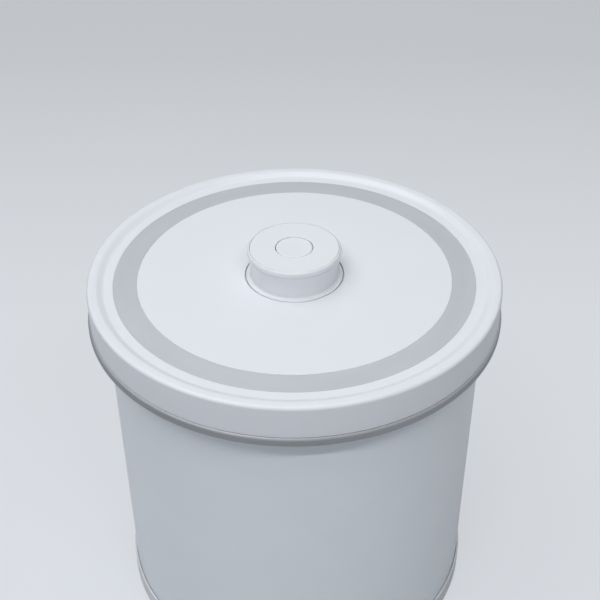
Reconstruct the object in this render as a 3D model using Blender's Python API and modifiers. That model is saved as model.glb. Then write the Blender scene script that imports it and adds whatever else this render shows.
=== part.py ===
"""A round stainless storage container with a hand pump in its lid.

The container stands on the floor at z = 0, on the world's Z axis. The lid's pieces are
built about the lid plane, the flat top of the lid, and hang on an empty at that height.
The knob and its button have empties of their own there, on the axis that they slide on.
Lengths are in metres.
"""

import math

import bmesh
import bpy

# Fits
TOUCH = 0.0003  # left between two pieces that touch
RUNNING = 0.0005  # round a piece that slides
OVERRUN = 0.0006  # how far a joined piece sinks in, and a cutter runs past
WELD = 0.00001  # points closer than this become one

# Steel body
BODY_RADIUS = 0.135
SHELL_HEIGHT = 0.24985
SHEET = 0.0008
BOTTOM_CORNER = 0.006
BOTTOM_FLAT = 0.016
BOTTOM_SLOPE = 0.004
BOTTOM_RISE = 0.0022

# Steel collar on the body's mouth
RIM_OVERHANG = 0.0125
CURL_RADIUS = 0.0022
CURL_WALL = 0.0027
SLEEVE_DEPTH = 0.014
SLEEVE_BEND = 0.0005

# Foot ring and feet
RING_PROUD = 0.0016
RING_WALL_HEIGHT = 0.011
RING_EDGE = 0.0008
SHELF_THICKNESS = 0.0038
SHELF_WIDTH = 0.017
FOOT_COUNT = 4
FOOT_RADIUS = 0.0065
FOOT_PROUD = 0.0015
FOOT_SEAT = 0.0018
FOOT_EDGE = 0.0005
FOOT_EDGE_ANGLE = math.radians(60)

# Lid cover
SKIRT_LIFT = 0.0004
SKIRT_DROP = 0.0207
SKIRT_INSET = 0.0015
SKIRT_DRAFT = 0.0001
SKIRT_WALL = 0.0022
COVER_WALL = 0.0022
RIM_RISE = 0.0029
RIM_WIDTH = 0.01815
RIM_LEDGE = 0.0061
RIM_SLOPE = 0.0063
RIM_EDGE = 0.0024
SNAP_HEIGHT = 0.0012
SNAP_PROUD = 0.0008
BOSS_RADIUS = 0.0033
BOSS_DEPTH_SHARE = 0.5

# Steel trim ring
TRIM_WIDTH = 0.01605
TRIM_THICKNESS = 0.0008
TRIM_GAP = 0.0003

# Lid base and its gasket
BASE_WALL = 0.002
BASE_GAP = 0.0004
GASKET_WIDTH = 0.006
GASKET_HEIGHT = 0.004
GASKET_LIP = 0.0012
CHANNEL_LIP_WIDTH = 0.0018
CHANNEL_LIP_DROP = 0.0022
CENTRING_DEPTH = 0.011
CENTRING_WALL = 0.002
CENTRING_GAP = 0.0011
STAND_RING_WALL = 0.002
COLLAR_WALL = 0.0016
COLLAR_HEIGHT = 0.0026

# Knob
CAP_RADIUS = 0.0331
CAP_RISE = 0.022
CAP_EDGE_HEIGHT = 0.0034
CAP_ROUNDING = 0.0012
CAP_BAND = 0.0016
INSERT_THICKNESS = 0.002
LIP_OVERHANG = 0.0009
LIP_DROP = 0.0012
WAIST_DRAW = 0.001
WAIST_PLACE_SHARE = 0.5
WAIST_DRAW_SHARE = 0.75
WAIST_FILLET = 0.0012
FLANGE_PROUD = 0.0013
FLANGE_CHAMFER = 0.0004
FLANGE_GAP = 0.0008
KNOB_WALL = 0.0022
DECK_WALL = 0.002
POST_RADIUS = 0.003
POST_PLACE_SHARE = 0.55
POST_COUNT = 3

# Button
BUTTON_RADIUS = 0.0128
BUTTON_GAP = 0.0005
BUTTON_TRAVEL = 0.003
BUTTON_SKIRT = 0.005
BUTTON_WALL = 0.0014
BUTTON_DISH = 0.0004
BUTTON_DISH_PLACE_SHARE = 0.5
BUTTON_DISH_SHARE = 0.75
BUTTON_ROUNDING = 0.0005
WELL_WALL = 0.0018
WELL_DEPTH = 0.014
SOCKET_WALL = 0.0016
SOCKET_DEPTH = 0.0055

# Rod, its ring seal and its clip
ROD_RADIUS = 0.0024
ROD_GROOVE = 0.0013
CLIP_GROOVE = 0.00065
ROD_POINT = 0.0007
ROD_SEAL_SECTION = 0.0005
CLIP_RADIUS = 0.0048
CLIP_THICKNESS = 0.0008
CLIP_MOUTH = 0.0026

# Piston
PUMP_STROKE = 0.020
PISTON_STEP = 0.0029
PISTON_HEIGHT = 0.0088
PISTON_PLATE = 0.0026
SEAL_GROOVE_DEPTH = 0.0028
SEAL_GROOVE_HEIGHT = 0.0038
SEAL_LIP = 0.0009
PISTON_WALL = 0.0019
HUB_WALL = 0.0022
HUB_CLEAR = 0.0008

# Pump cylinder, its ring seal and its valve
CYLINDER_WALL = 0.002
CYLINDER_FLOOR = 0.0022
CYLINDER_CORNER = 0.0016
CHAMBER_ROOM = 0.0012
EAR_WIDTH = 0.0115
EAR_THICKNESS = 0.002
CYLINDER_SEAL_SECTION = 0.001
GUIDE_RADIUS = 0.0115
GUIDE_WALL = 0.0012
GUIDE_HEIGHT = 0.002
PORT_COUNT = 5
PORT_RADIUS = 0.0012
PORT_PLACE_SHARE = 0.62
VALVE_RADIUS = 0.0098
VALVE_DOME = 0.0014
VALVE_SHOULDER_SHARE = 0.5
VALVE_CROWN_SHARE = 0.75
VALVE_LIP = 0.0005
VALVE_STEM = 0.0017
VALVE_BULB = 0.0029
VALVE_BULB_LENGTH = 0.0032

# Springs
PUMP_SPRING_WIRE = 0.00065
PUMP_SPRING_TURNS = 4.5
BUTTON_SPRING_RADIUS = 0.0085
BUTTON_SPRING_WIRE = 0.0004
BUTTON_SPRING_TURNS = 4.5
POINTS_A_TURN = 8

# Screws
SCREW_SHANK = 0.0012
SCREW_HEAD = 0.0025
SCREW_HEAD_HEIGHT = 0.0014
SCREW_HEAD_ROUNDING = 0.0007
SCREW_POINT = 0.0006
SCREW_BITE = 0.005
CYLINDER_SCREW_COUNT = 4

# Facets round a turned piece
LARGE_SIDES = 36
KNOB_SIDES = 28
BUTTON_SIDES = 20
SMALL_SIDES = 12
SCREW_SIDES = 8
SEAL_SIDES = 5
CORNER_STEPS = 3
CURL_STEPS = 2
EDGE_STEPS = 2
SLOPE_STEPS = 4
CREASE = math.radians(35)

# Heights in the container, up from the floor
SHELF_TOP = FOOT_PROUD + SHELF_THICKNESS
SHELL_BOTTOM = SHELF_TOP + TOUCH
SHELL_TOP = SHELL_BOTTOM + SHELL_HEIGHT
FLANGE_TOP = SHELL_TOP + TOUCH + SHEET
LID_PLANE = FLANGE_TOP + SKIRT_LIFT + SKIRT_DROP

# Heights in the lid, from the lid plane
RIM_SEAT = FLANGE_TOP - LID_PLANE
BASE_UNDERSIDE = RIM_SEAT + TOUCH + GASKET_HEIGHT + TOUCH
BASE_TOP = BASE_UNDERSIDE + BASE_WALL
TRIM_SEAT = -(TRIM_THICKNESS + TOUCH)
BOSS_FOOT = -COVER_WALL - BOSS_DEPTH_SHARE * (-COVER_WALL - BASE_TOP)
EAR_TOP = BOSS_FOOT - TOUCH
EAR_UNDERSIDE = EAR_TOP - EAR_THICKNESS
PISTON_TOP = -COVER_WALL - TOUCH
PISTON_CEILING = PISTON_TOP - PISTON_PLATE
PISTON_FOOT = PISTON_TOP - PISTON_HEIGHT
CHAMBER_FLOOR = PISTON_FOOT - PUMP_STROKE - CHAMBER_ROOM
CYLINDER_FOOT = CHAMBER_FLOOR - CYLINDER_FLOOR
VALVE_TOP = CHAMBER_FLOOR + TOUCH + VALVE_LIP + VALVE_DOME
HUB_FOOT = VALVE_TOP + PUMP_STROKE + HUB_CLEAR
ROD_TIP = VALVE_TOP + TOUCH + PUMP_STROKE + BUTTON_TRAVEL
DECK_TOP = CAP_RISE - INSERT_THICKNESS - TOUCH
DECK_UNDERSIDE = DECK_TOP - DECK_WALL
WELL_FLOOR = CAP_RISE - WELL_DEPTH
WELL_UNDERSIDE = WELL_FLOOR - WELL_WALL
BUTTON_FOOT = CAP_RISE - BUTTON_SKIRT
BUTTON_CEILING = CAP_RISE - BUTTON_DISH - BUTTON_WALL
SOCKET_FOOT = BUTTON_CEILING - SOCKET_DEPTH
ROD_HEAD = BUTTON_CEILING - TOUCH
CLIP_TOP = WELL_UNDERSIDE - TOUCH
CLIP_UNDERSIDE = CLIP_TOP - CLIP_THICKNESS

# Radii of the collar and the lid, from the outside in
RIM_RADIUS = BODY_RADIUS + RIM_OVERHANG
CURL_CENTRE = RIM_RADIUS - CURL_RADIUS
SKIRT_RADIUS = RIM_RADIUS - SKIRT_INSET
SKIRT_INSIDE = SKIRT_RADIUS - SKIRT_DRAFT - SKIRT_WALL
LID_TOP_RADIUS = SKIRT_RADIUS - SKIRT_DRAFT
RECESS_OUTER = LID_TOP_RADIUS - RIM_WIDTH
TRIM_OUTER = RECESS_OUTER - TRIM_GAP
TRIM_INNER = TRIM_OUTER - TRIM_WIDTH
RECESS_INNER = TRIM_INNER - TRIM_GAP
SLEEVE_INSIDE = BODY_RADIUS - SHEET - TOUCH - SHEET

# Radii of the knob and the pump, from the inside out
WELL_RADIUS = BUTTON_RADIUS + BUTTON_GAP
INSERT_RADIUS = CAP_RADIUS - CAP_BAND
NECK_RADIUS = CAP_RADIUS - LIP_OVERHANG
WAIST_RADIUS = NECK_RADIUS - WAIST_DRAW
KNOB_INSIDE = WAIST_RADIUS - KNOB_WALL
FLANGE_RADIUS = CAP_RADIUS + FLANGE_PROUD
HOLE_RADIUS = FLANGE_RADIUS + FLANGE_GAP
PISTON_RADIUS = HOLE_RADIUS + PISTON_STEP - RUNNING
BORE_RADIUS = HOLE_RADIUS + PISTON_STEP
CYLINDER_RADIUS = BORE_RADIUS + CYLINDER_WALL
EAR_RADIUS = CYLINDER_RADIUS + EAR_WIDTH
CYLINDER_SEAL_RADIUS = CYLINDER_RADIUS + TOUCH + CYLINDER_SEAL_SECTION
COLLAR_INSIDE = CYLINDER_SEAL_RADIUS + CYLINDER_SEAL_SECTION + TOUCH
GROOVE_INSIDE = PISTON_RADIUS - SEAL_GROOVE_DEPTH
ROD_BORE = ROD_RADIUS + TOUCH
HUB_RADIUS = ROD_BORE + HUB_WALL
SCREW_HOLE = SCREW_SHANK + TOUCH
BOSS_PLACE = CYLINDER_RADIUS + EAR_WIDTH - BOSS_RADIUS - TOUCH
POST_PLACE = WELL_RADIUS + WELL_WALL + POST_PLACE_SHARE * (KNOB_INSIDE - WELL_RADIUS - WELL_WALL)

COLLECTION = "storage_container"
CUTTERS = "cutters"


def clear_scene():
    """Leave the file empty, but for the two collections."""
    for thing in list(bpy.data.objects):
        bpy.data.objects.remove(thing, do_unlink=True)
    for name in (COLLECTION, CUTTERS):
        collection = bpy.data.collections.new(name)
        bpy.context.scene.collection.children.link(collection)
    bpy.data.collections[CUTTERS].hide_render = True


def material(name, color, roughness, metallic=0.0):
    """A plain surface finish."""
    made = bpy.data.materials.new(name)
    made.diffuse_color = (*color, 1.0)
    made.use_nodes = True
    shader = made.node_tree.nodes["Principled BSDF"]
    shader.inputs["Base Color"].default_value = (*color, 1.0)
    shader.inputs["Roughness"].default_value = roughness
    shader.inputs["Metallic"].default_value = metallic
    return made


def arc(middle, radius, start, end, steps):
    """Points round part of a circle, from one angle in degrees to another."""
    points = []
    for step in range(steps + 1):
        angle = math.radians(start + (end - start) * step / steps)
        points.append((middle[0] + radius * math.cos(angle), middle[1] + radius * math.sin(angle)))
    return points


def add_piece(name, data, finish, parent=None):
    """Put a mesh or a curve in the scene as one named piece."""
    piece = bpy.data.objects.new(name, data)
    piece.data.materials.append(finish)
    piece.parent = parent
    bpy.data.collections[COLLECTION].objects.link(piece)
    return piece


def add_axis(name, height, parent=None):
    """An empty that carries a moving body, on the axis that it slides on."""
    axis = bpy.data.objects.new(name, None)
    axis.location = (0, 0, height)
    axis.empty_display_size = BODY_RADIUS
    axis.parent = parent
    bpy.data.collections[COLLECTION].objects.link(axis)
    return axis


def settle(piece):
    """Make a piece's modifiers part of its mesh and shade it smooth between its creases."""
    bpy.context.view_layer.update()
    graph = bpy.context.evaluated_depsgraph_get()
    mesh = bpy.data.meshes.new_from_object(piece.evaluated_get(graph))
    mesh.name = piece.name
    piece.modifiers.clear()
    piece.data = mesh
    mesh.shade_smooth()
    mesh.set_sharp_from_angle(angle=CREASE)
    return piece


def profile_mesh(name, outline, closed):
    """A radius and height outline as edges, ready to be turned about Z."""
    mesh = bpy.data.meshes.new(name)
    edges = [(at, at + 1) for at in range(len(outline) - 1)]
    if closed:
        edges.append((len(outline) - 1, 0))
    mesh.from_pydata([(radius, 0, height) for radius, height in outline], edges, [])
    return mesh


def add_screw(piece, sides):
    """Turn a profile once about Z."""
    turn = piece.modifiers.new("turn", "SCREW")
    turn.steps = sides
    turn.render_steps = sides
    turn.use_merge_vertices = True
    turn.merge_threshold = WELD
    return turn


def turned(name, outline, sides, finish, parent=None, closed=True):
    """A turned solid. An outline that starts and ends on the axis is left open."""
    piece = add_piece(name, profile_mesh(name, outline, closed), finish, parent)
    add_screw(piece, sides)
    return settle(piece)


def turned_sheet(name, outline, sides, thickness, finish):
    """A turned skin of sheet metal, with its thickness behind the outline."""
    piece = add_piece(name, profile_mesh(name, outline, False), finish)
    add_screw(piece, sides)
    shell = piece.modifiers.new("thickness", "SOLIDIFY")
    shell.thickness = thickness
    shell.offset = -1
    shell.use_even_offset = True
    return settle(piece)


def rod_mesh(name, radius, bottom, top, sides):
    """An upright cylinder between two heights."""
    mesh = bpy.data.meshes.new(name)
    shape = bmesh.new()
    bmesh.ops.create_cone(
        shape,
        cap_ends=True,
        segments=sides,
        radius1=radius,
        radius2=radius,
        depth=top - bottom,
    )
    bmesh.ops.translate(shape, verts=shape.verts, vec=(0, 0, (top + bottom) / 2))
    shape.to_mesh(mesh)
    shape.free()
    return mesh


def add_tool(name, mesh, place, parent):
    """A helper that is cut from, or joined to, a piece."""
    tool = bpy.data.objects.new(name, mesh)
    tool.location = place
    tool.parent = parent
    tool.hide_render = True
    tool.display_type = "WIRE"
    bpy.data.collections[CUTTERS].objects.link(tool)
    return tool


def combine(piece, tool, operation):
    """Cut a helper from a piece, or join it."""
    step = piece.modifiers.new(tool.name, "BOOLEAN")
    step.operation = operation
    step.solver = "EXACT"
    step.object = tool


def around(count, radius, height=0.0, turn=0.0):
    """Places spaced evenly round the axis."""
    places = []
    for number in range(count):
        angle = math.tau * (number + turn) / count
        places.append((radius * math.cos(angle), radius * math.sin(angle), height))
    return places


def helix(name, radius, wire, bottom, top, turns, finish, parent):
    """A compression spring as one unbroken wire between two seats. Its bends lie at the radius."""
    low, high = bottom + TOUCH + wire, top - TOUCH - wire
    steps = round(turns * POINTS_A_TURN)
    curve = bpy.data.curves.new(name, "CURVE")
    curve.dimensions = "3D"
    curve.bevel_depth = wire
    curve.bevel_resolution = 1
    curve.use_fill_caps = True
    spline = curve.splines.new("POLY")
    spline.points.add(steps)
    for step in range(steps + 1):
        angle = math.tau * turns * step / steps
        height = low + (high - low) * step / steps
        spline.points[step].co = (radius * math.cos(angle), radius * math.sin(angle), height, 1)
    return add_piece(name, curve, finish, parent)


def ring_seal(name, radius, section, height, sides, finish, parent):
    """A ring of round section."""
    outline = arc((radius, height), section, 90, -270, SEAL_SIDES)[:-1]
    return turned(name, outline, sides, finish, parent)


def make_container_shell(finish):
    """The steel cup: a straight wall on a bottom pressed up in the middle."""
    corner = BODY_RADIUS - BOTTOM_CORNER
    flat_inside = corner - BOTTOM_FLAT
    outline = [(BODY_RADIUS, SHELL_TOP)]
    outline += arc((corner, SHELL_BOTTOM + BOTTOM_CORNER), BOTTOM_CORNER, 0, -90, CORNER_STEPS)
    outline += [
        (flat_inside, SHELL_BOTTOM),
        (flat_inside - BOTTOM_SLOPE, SHELL_BOTTOM + BOTTOM_RISE),
        (0, SHELL_BOTTOM + BOTTOM_RISE),
    ]
    return turned_sheet("container_shell", outline, LARGE_SIDES, SHEET, finish)


def make_rim_collar(finish):
    """The steel ring on the mouth: a sleeve inside the wall, a flat flange and a rolled edge."""
    upper = (CURL_CENTRE, FLANGE_TOP - CURL_RADIUS)
    lower = (CURL_CENTRE, FLANGE_TOP - CURL_RADIUS - CURL_WALL)
    outline = [(SLEEVE_INSIDE, FLANGE_TOP - SLEEVE_DEPTH)]
    bend_middle = (SLEEVE_INSIDE + SLEEVE_BEND, FLANGE_TOP - SLEEVE_BEND)
    outline += arc(bend_middle, SLEEVE_BEND, 180, 90, 1)
    outline += arc(upper, CURL_RADIUS, 90, 0, CURL_STEPS)
    outline += arc(lower, CURL_RADIUS, 0, -180, CURL_STEPS + CURL_STEPS)
    return turned_sheet("rim_collar", outline, LARGE_SIDES, SHEET, finish)


def make_base_ring(finish):
    """The plastic foot ring: a wall round the shell's corner and a shelf under its bottom."""
    outside = BODY_RADIUS + TOUCH + RING_PROUD
    inside = BODY_RADIUS + TOUCH
    top = SHELF_TOP + RING_WALL_HEIGHT
    shelf_inside = BODY_RADIUS - SHELF_WIDTH
    corner = inside - BOTTOM_CORNER
    outline = [
        (outside - RING_EDGE, top),
        (outside, top - RING_EDGE),
        (outside, FOOT_PROUD + RING_EDGE),
        (outside - RING_EDGE, FOOT_PROUD),
        (shelf_inside, FOOT_PROUD),
        (shelf_inside, SHELF_TOP),
        (corner, SHELF_TOP),
    ]
    outline += arc((corner, SHELF_TOP + BOTTOM_CORNER), BOTTOM_CORNER, -90, 0, CORNER_STEPS)[1:]
    outline.append((inside, top))
    ring = turned("base_ring", outline, LARGE_SIDES, finish)
    pocket = FOOT_RADIUS + TOUCH
    for number, place in enumerate(foot_places()):
        name = f"foot_pocket_{number + 1}"
        mesh = rod_mesh(name, pocket, -OVERRUN, FOOT_PROUD + FOOT_SEAT, SMALL_SIDES)
        combine(ring, add_tool(name, mesh, place, None), "DIFFERENCE")
    return settle(ring)


def foot_places():
    """Where the feet stand, along the middle of the shelf."""
    middle = BODY_RADIUS + (TOUCH + RING_PROUD - SHELF_WIDTH) / 2
    return around(FOOT_COUNT, middle, turn=0.5)


def make_feet(finish):
    """Rubber pads in the foot ring's pockets."""
    top = FOOT_PROUD + FOOT_SEAT - TOUCH
    for number, place in enumerate(foot_places()):
        name = f"foot_pad_{number + 1}"
        pad = add_piece(name, rod_mesh(name, FOOT_RADIUS, 0, top, SMALL_SIDES), finish)
        pad.location = place
        edge = pad.modifiers.new("edge", "BEVEL")
        edge.width = FOOT_EDGE
        edge.segments = 1
        edge.limit_method = "ANGLE"
        edge.angle_limit = FOOT_EDGE_ANGLE
        settle(pad)


def rim_outline():
    """The lid's rim, from the recess of the trim ring up a soft slope and out to the skirt's foot."""
    ledge_end = RECESS_OUTER + RIM_LEDGE
    points = [(RECESS_OUTER, 0)]
    for step in range(SLOPE_STEPS + 1):
        share = step / SLOPE_STEPS
        height = RIM_RISE * (1 - math.cos(math.pi * share)) / 2
        points.append((ledge_end + RIM_SLOPE * share, height))
    points += arc((LID_TOP_RADIUS - RIM_EDGE, RIM_RISE - RIM_EDGE), RIM_EDGE, 90, 0, EDGE_STEPS)
    points.append((SKIRT_RADIUS, -SKIRT_DROP))
    return points


def make_lid_cover(finish, parent):
    """The white moulding: flat top with a recess for the trim ring, raised rim and skirt."""
    ledge_end = RECESS_OUTER + RIM_LEDGE
    ceiling = RIM_RISE - COVER_WALL
    recess_underside = TRIM_SEAT - COVER_WALL
    snap_top = BASE_UNDERSIDE - TOUCH
    outline = [
        (HOLE_RADIUS, 0),
        (RECESS_INNER, 0),
        (RECESS_INNER, TRIM_SEAT),
        (RECESS_OUTER, TRIM_SEAT),
    ]
    outline += rim_outline()
    outline += [
        (SKIRT_INSIDE, -SKIRT_DROP),
        (SKIRT_INSIDE, snap_top - SNAP_HEIGHT),
        (SKIRT_INSIDE - SNAP_PROUD, snap_top),
        (SKIRT_INSIDE, snap_top),
        (SKIRT_INSIDE, ceiling - COVER_WALL),
        (SKIRT_INSIDE - COVER_WALL, ceiling),
        (ledge_end + RIM_SLOPE, ceiling),
        (ledge_end, -COVER_WALL),
        (RECESS_OUTER + COVER_WALL, -COVER_WALL),
        (RECESS_OUTER + COVER_WALL, recess_underside),
        (RECESS_INNER - COVER_WALL, recess_underside),
        (RECESS_INNER - COVER_WALL, -COVER_WALL),
        (HOLE_RADIUS, -COVER_WALL),
    ]
    cover = turned("lid_cover", outline, LARGE_SIDES, finish, parent)
    places = around(CYLINDER_SCREW_COUNT, BOSS_PLACE, turn=0.5)
    for number, place in enumerate(places):
        boss = rod_mesh("boss", BOSS_RADIUS, BOSS_FOOT, -COVER_WALL + OVERRUN, SMALL_SIDES)
        combine(cover, add_tool(f"cover_boss_{number + 1}", boss, place, parent), "UNION")
    for number, place in enumerate(places):
        hole_top = EAR_UNDERSIDE + TOUCH + SCREW_BITE + TOUCH
        hole = rod_mesh("hole", SCREW_HOLE, BOSS_FOOT - OVERRUN, hole_top, SCREW_SIDES)
        combine(cover, add_tool(f"cover_hole_{number + 1}", hole, place, parent), "DIFFERENCE")
    return settle(cover)


def make_lid_trim_ring(finish, parent):
    """The flat steel ring let into the top of the lid."""
    outline = [
        (TRIM_OUTER, 0),
        (TRIM_OUTER, -TRIM_THICKNESS),
        (TRIM_INNER, -TRIM_THICKNESS),
        (TRIM_INNER, 0),
    ]
    return turned("lid_trim_ring", outline, LARGE_SIDES, finish, parent)


def gasket_outside():
    """The gasket's outer radius, inside the lip of its channel."""
    return SKIRT_INSIDE - BASE_GAP - SNAP_PROUD - CHANNEL_LIP_WIDTH - TOUCH


def centring_outside():
    """The outer radius of the wall that centres the lid in the collar."""
    return SLEEVE_INSIDE - CENTRING_GAP


def make_lid_base(finish, parent):
    """The plate that closes the lid from below and carries the gasket and the cylinder's seal."""
    outside = SKIRT_INSIDE - BASE_GAP
    lip_outside = outside - SNAP_PROUD
    lip_inside = lip_outside - CHANNEL_LIP_WIDTH
    lip_foot = BASE_UNDERSIDE - CHANNEL_LIP_DROP
    centring = centring_outside()
    centring_foot = BASE_UNDERSIDE - CENTRING_DEPTH
    hole = CYLINDER_RADIUS + TOUCH
    collar_outside = COLLAR_INSIDE + COLLAR_WALL
    stand_top = TRIM_SEAT - COVER_WALL - TOUCH
    stand_middle = (RECESS_INNER + RECESS_OUTER) / 2
    outline = [
        (outside, BASE_TOP),
        (outside, BASE_UNDERSIDE),
        (lip_outside, BASE_UNDERSIDE),
        (lip_outside, lip_foot),
        (lip_inside, lip_foot),
        (lip_inside, BASE_UNDERSIDE),
        (centring, BASE_UNDERSIDE),
        (centring, centring_foot),
        (centring - CENTRING_WALL, centring_foot),
        (centring - CENTRING_WALL, BASE_UNDERSIDE),
        (hole, BASE_UNDERSIDE),
        (hole, BASE_TOP),
        (COLLAR_INSIDE, BASE_TOP),
        (COLLAR_INSIDE, BASE_TOP + COLLAR_HEIGHT),
        (collar_outside, BASE_TOP + COLLAR_HEIGHT),
        (collar_outside, BASE_TOP),
        (stand_middle - STAND_RING_WALL / 2, BASE_TOP),
        (stand_middle - STAND_RING_WALL / 2, stand_top),
        (stand_middle + STAND_RING_WALL / 2, stand_top),
        (stand_middle + STAND_RING_WALL / 2, BASE_TOP),
    ]
    return turned("lid_base", outline, LARGE_SIDES, finish, parent)


def make_lid_gasket(finish, parent):
    """The silicone ring between the lid base and the collar's flange."""
    outside = gasket_outside()
    inside = outside - GASKET_WIDTH
    top = BASE_UNDERSIDE - TOUCH
    foot = top - GASKET_HEIGHT
    outline = [
        (outside, top),
        (outside, foot + GASKET_LIP),
        (outside - GASKET_LIP, foot),
        (inside + GASKET_LIP, foot),
        (inside, foot + GASKET_LIP),
        (inside, top),
    ]
    return turned("lid_gasket", outline, LARGE_SIDES, finish, parent)


def make_pump_cylinder(finish, parent):
    """The cup that the piston runs in, with an ear ring for its screws and ports in its floor."""
    top = -COVER_WALL - TOUCH
    guide_outside = GUIDE_RADIUS + GUIDE_WALL
    outline = [
        (CYLINDER_RADIUS, top),
        (CYLINDER_RADIUS, EAR_TOP),
        (EAR_RADIUS, EAR_TOP),
        (EAR_RADIUS, EAR_UNDERSIDE),
        (CYLINDER_RADIUS, EAR_UNDERSIDE),
        (CYLINDER_RADIUS, CYLINDER_FOOT + CYLINDER_CORNER),
        (CYLINDER_RADIUS - CYLINDER_CORNER, CYLINDER_FOOT),
        (VALVE_STEM + TOUCH, CYLINDER_FOOT),
        (VALVE_STEM + TOUCH, CHAMBER_FLOOR),
        (GUIDE_RADIUS, CHAMBER_FLOOR),
        (GUIDE_RADIUS, CHAMBER_FLOOR + GUIDE_HEIGHT),
        (guide_outside, CHAMBER_FLOOR + GUIDE_HEIGHT),
        (guide_outside, CHAMBER_FLOOR),
        (BORE_RADIUS, CHAMBER_FLOOR),
        (BORE_RADIUS, top),
    ]
    cylinder = turned("pump_cylinder", outline, KNOB_SIDES, finish, parent)
    for number, place in enumerate(around(PORT_COUNT, PORT_PLACE_SHARE * VALVE_RADIUS)):
        port = rod_mesh(
            "port", PORT_RADIUS, CYLINDER_FOOT - OVERRUN, CHAMBER_FLOOR + OVERRUN, SCREW_SIDES
        )
        combine(cylinder, add_tool(f"port_{number + 1}", port, place, parent), "DIFFERENCE")
    for number, place in enumerate(around(CYLINDER_SCREW_COUNT, BOSS_PLACE, turn=0.5)):
        hole = rod_mesh(
            "hole", SCREW_HOLE, EAR_UNDERSIDE - OVERRUN, EAR_TOP + OVERRUN, SCREW_SIDES
        )
        combine(cylinder, add_tool(f"ear_hole_{number + 1}", hole, place, parent), "DIFFERENCE")
    return settle(cylinder)


def make_cylinder_seal(finish, parent):
    """The ring seal between the cylinder and the collar of the lid base."""
    height = BASE_TOP + TOUCH + CYLINDER_SEAL_SECTION
    return ring_seal(
        "cylinder_seal",
        CYLINDER_SEAL_RADIUS,
        CYLINDER_SEAL_SECTION,
        height,
        KNOB_SIDES,
        finish,
        parent,
    )


def make_inlet_valve(finish, parent):
    """The mushroom of silicone over the ports, held by its stem."""
    seat = CHAMBER_FLOOR + TOUCH
    bulb_top = CYLINDER_FOOT - TOUCH
    outline = [
        (0, seat + VALVE_LIP + VALVE_DOME),
        (VALVE_SHOULDER_SHARE * VALVE_RADIUS, seat + VALVE_LIP + VALVE_CROWN_SHARE * VALVE_DOME),
        (VALVE_RADIUS, seat + VALVE_LIP),
        (VALVE_RADIUS, seat),
        (VALVE_STEM, seat),
        (VALVE_STEM, bulb_top),
        (VALVE_BULB, bulb_top),
        (VALVE_STEM, bulb_top - VALVE_BULB_LENGTH),
        (0, bulb_top - VALVE_BULB_LENGTH),
    ]
    return turned("inlet_valve", outline, SMALL_SIDES, finish, parent, closed=False)


def add_screws(name, count, radius, seat, finish, parent, turn):
    """Small pan head screws, driven upward from below."""
    tip = seat + SCREW_BITE
    foot = seat - SCREW_HEAD_HEIGHT
    outline = [
        (0, tip),
        (SCREW_SHANK - SCREW_POINT, tip),
        (SCREW_SHANK, tip - SCREW_POINT),
        (SCREW_SHANK, seat),
        (SCREW_HEAD, seat),
        (SCREW_HEAD, foot + SCREW_HEAD_ROUNDING),
        (SCREW_HEAD - SCREW_HEAD_ROUNDING, foot),
        (0, foot),
    ]
    for number, place in enumerate(around(count, radius, turn=turn)):
        screw = turned(f"{name}_{number + 1}", outline, SCREW_SIDES, finish, parent, closed=False)
        screw.location = place


def make_knob_body(finish, parent):
    """The spool that the hand pushes: rounded cap edge, drawn in waist and flush flange."""
    rim_inside = INSERT_RADIUS + TOUCH
    lip = CAP_RISE - CAP_EDGE_HEIGHT
    edge_middle = (CAP_RADIUS - CAP_ROUNDING, CAP_RISE - CAP_ROUNDING)
    foot = -COVER_WALL
    well_outside = WELL_RADIUS + WELL_WALL
    outline = [(rim_inside, CAP_RISE)]
    outline += arc(edge_middle, CAP_ROUNDING, 90, 0, EDGE_STEPS)
    outline += [
        (CAP_RADIUS, lip),
        (NECK_RADIUS, lip - LIP_DROP),
        (NECK_RADIUS - WAIST_DRAW_SHARE * WAIST_DRAW, WAIST_PLACE_SHARE * lip),
        (WAIST_RADIUS, WAIST_FILLET),
        (WAIST_RADIUS + WAIST_FILLET, 0),
        (FLANGE_RADIUS - FLANGE_CHAMFER, 0),
        (FLANGE_RADIUS, -FLANGE_CHAMFER),
        (FLANGE_RADIUS, foot),
        (KNOB_INSIDE, foot),
        (KNOB_INSIDE, DECK_UNDERSIDE),
        (well_outside, DECK_UNDERSIDE),
        (well_outside, WELL_UNDERSIDE),
        (ROD_BORE, WELL_UNDERSIDE),
        (ROD_BORE, WELL_FLOOR),
        (WELL_RADIUS, WELL_FLOOR),
        (WELL_RADIUS, DECK_TOP),
        (rim_inside, DECK_TOP),
    ]
    body = turned("knob_body", outline, KNOB_SIDES, finish, parent)
    places = around(POST_COUNT, POST_PLACE)
    for number, place in enumerate(places):
        post = rod_mesh("post", POST_RADIUS, foot, DECK_UNDERSIDE + OVERRUN, SMALL_SIDES)
        combine(body, add_tool(f"knob_post_{number + 1}", post, place, parent), "UNION")
    for number, place in enumerate(places):
        hole_top = PISTON_CEILING - TOUCH + SCREW_BITE + TOUCH
        hole = rod_mesh("hole", SCREW_HOLE, foot - OVERRUN, hole_top, SCREW_SIDES)
        combine(body, add_tool(f"post_hole_{number + 1}", hole, place, parent), "DIFFERENCE")
    return settle(body)


def make_knob_top(finish, parent):
    """The flat disc let into the top of the knob, round the button."""
    underside = CAP_RISE - INSERT_THICKNESS
    outline = [
        (INSERT_RADIUS, CAP_RISE),
        (INSERT_RADIUS, underside),
        (WELL_RADIUS, underside),
        (WELL_RADIUS, CAP_RISE),
    ]
    return turned("knob_top", outline, KNOB_SIDES, finish, parent)


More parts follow.
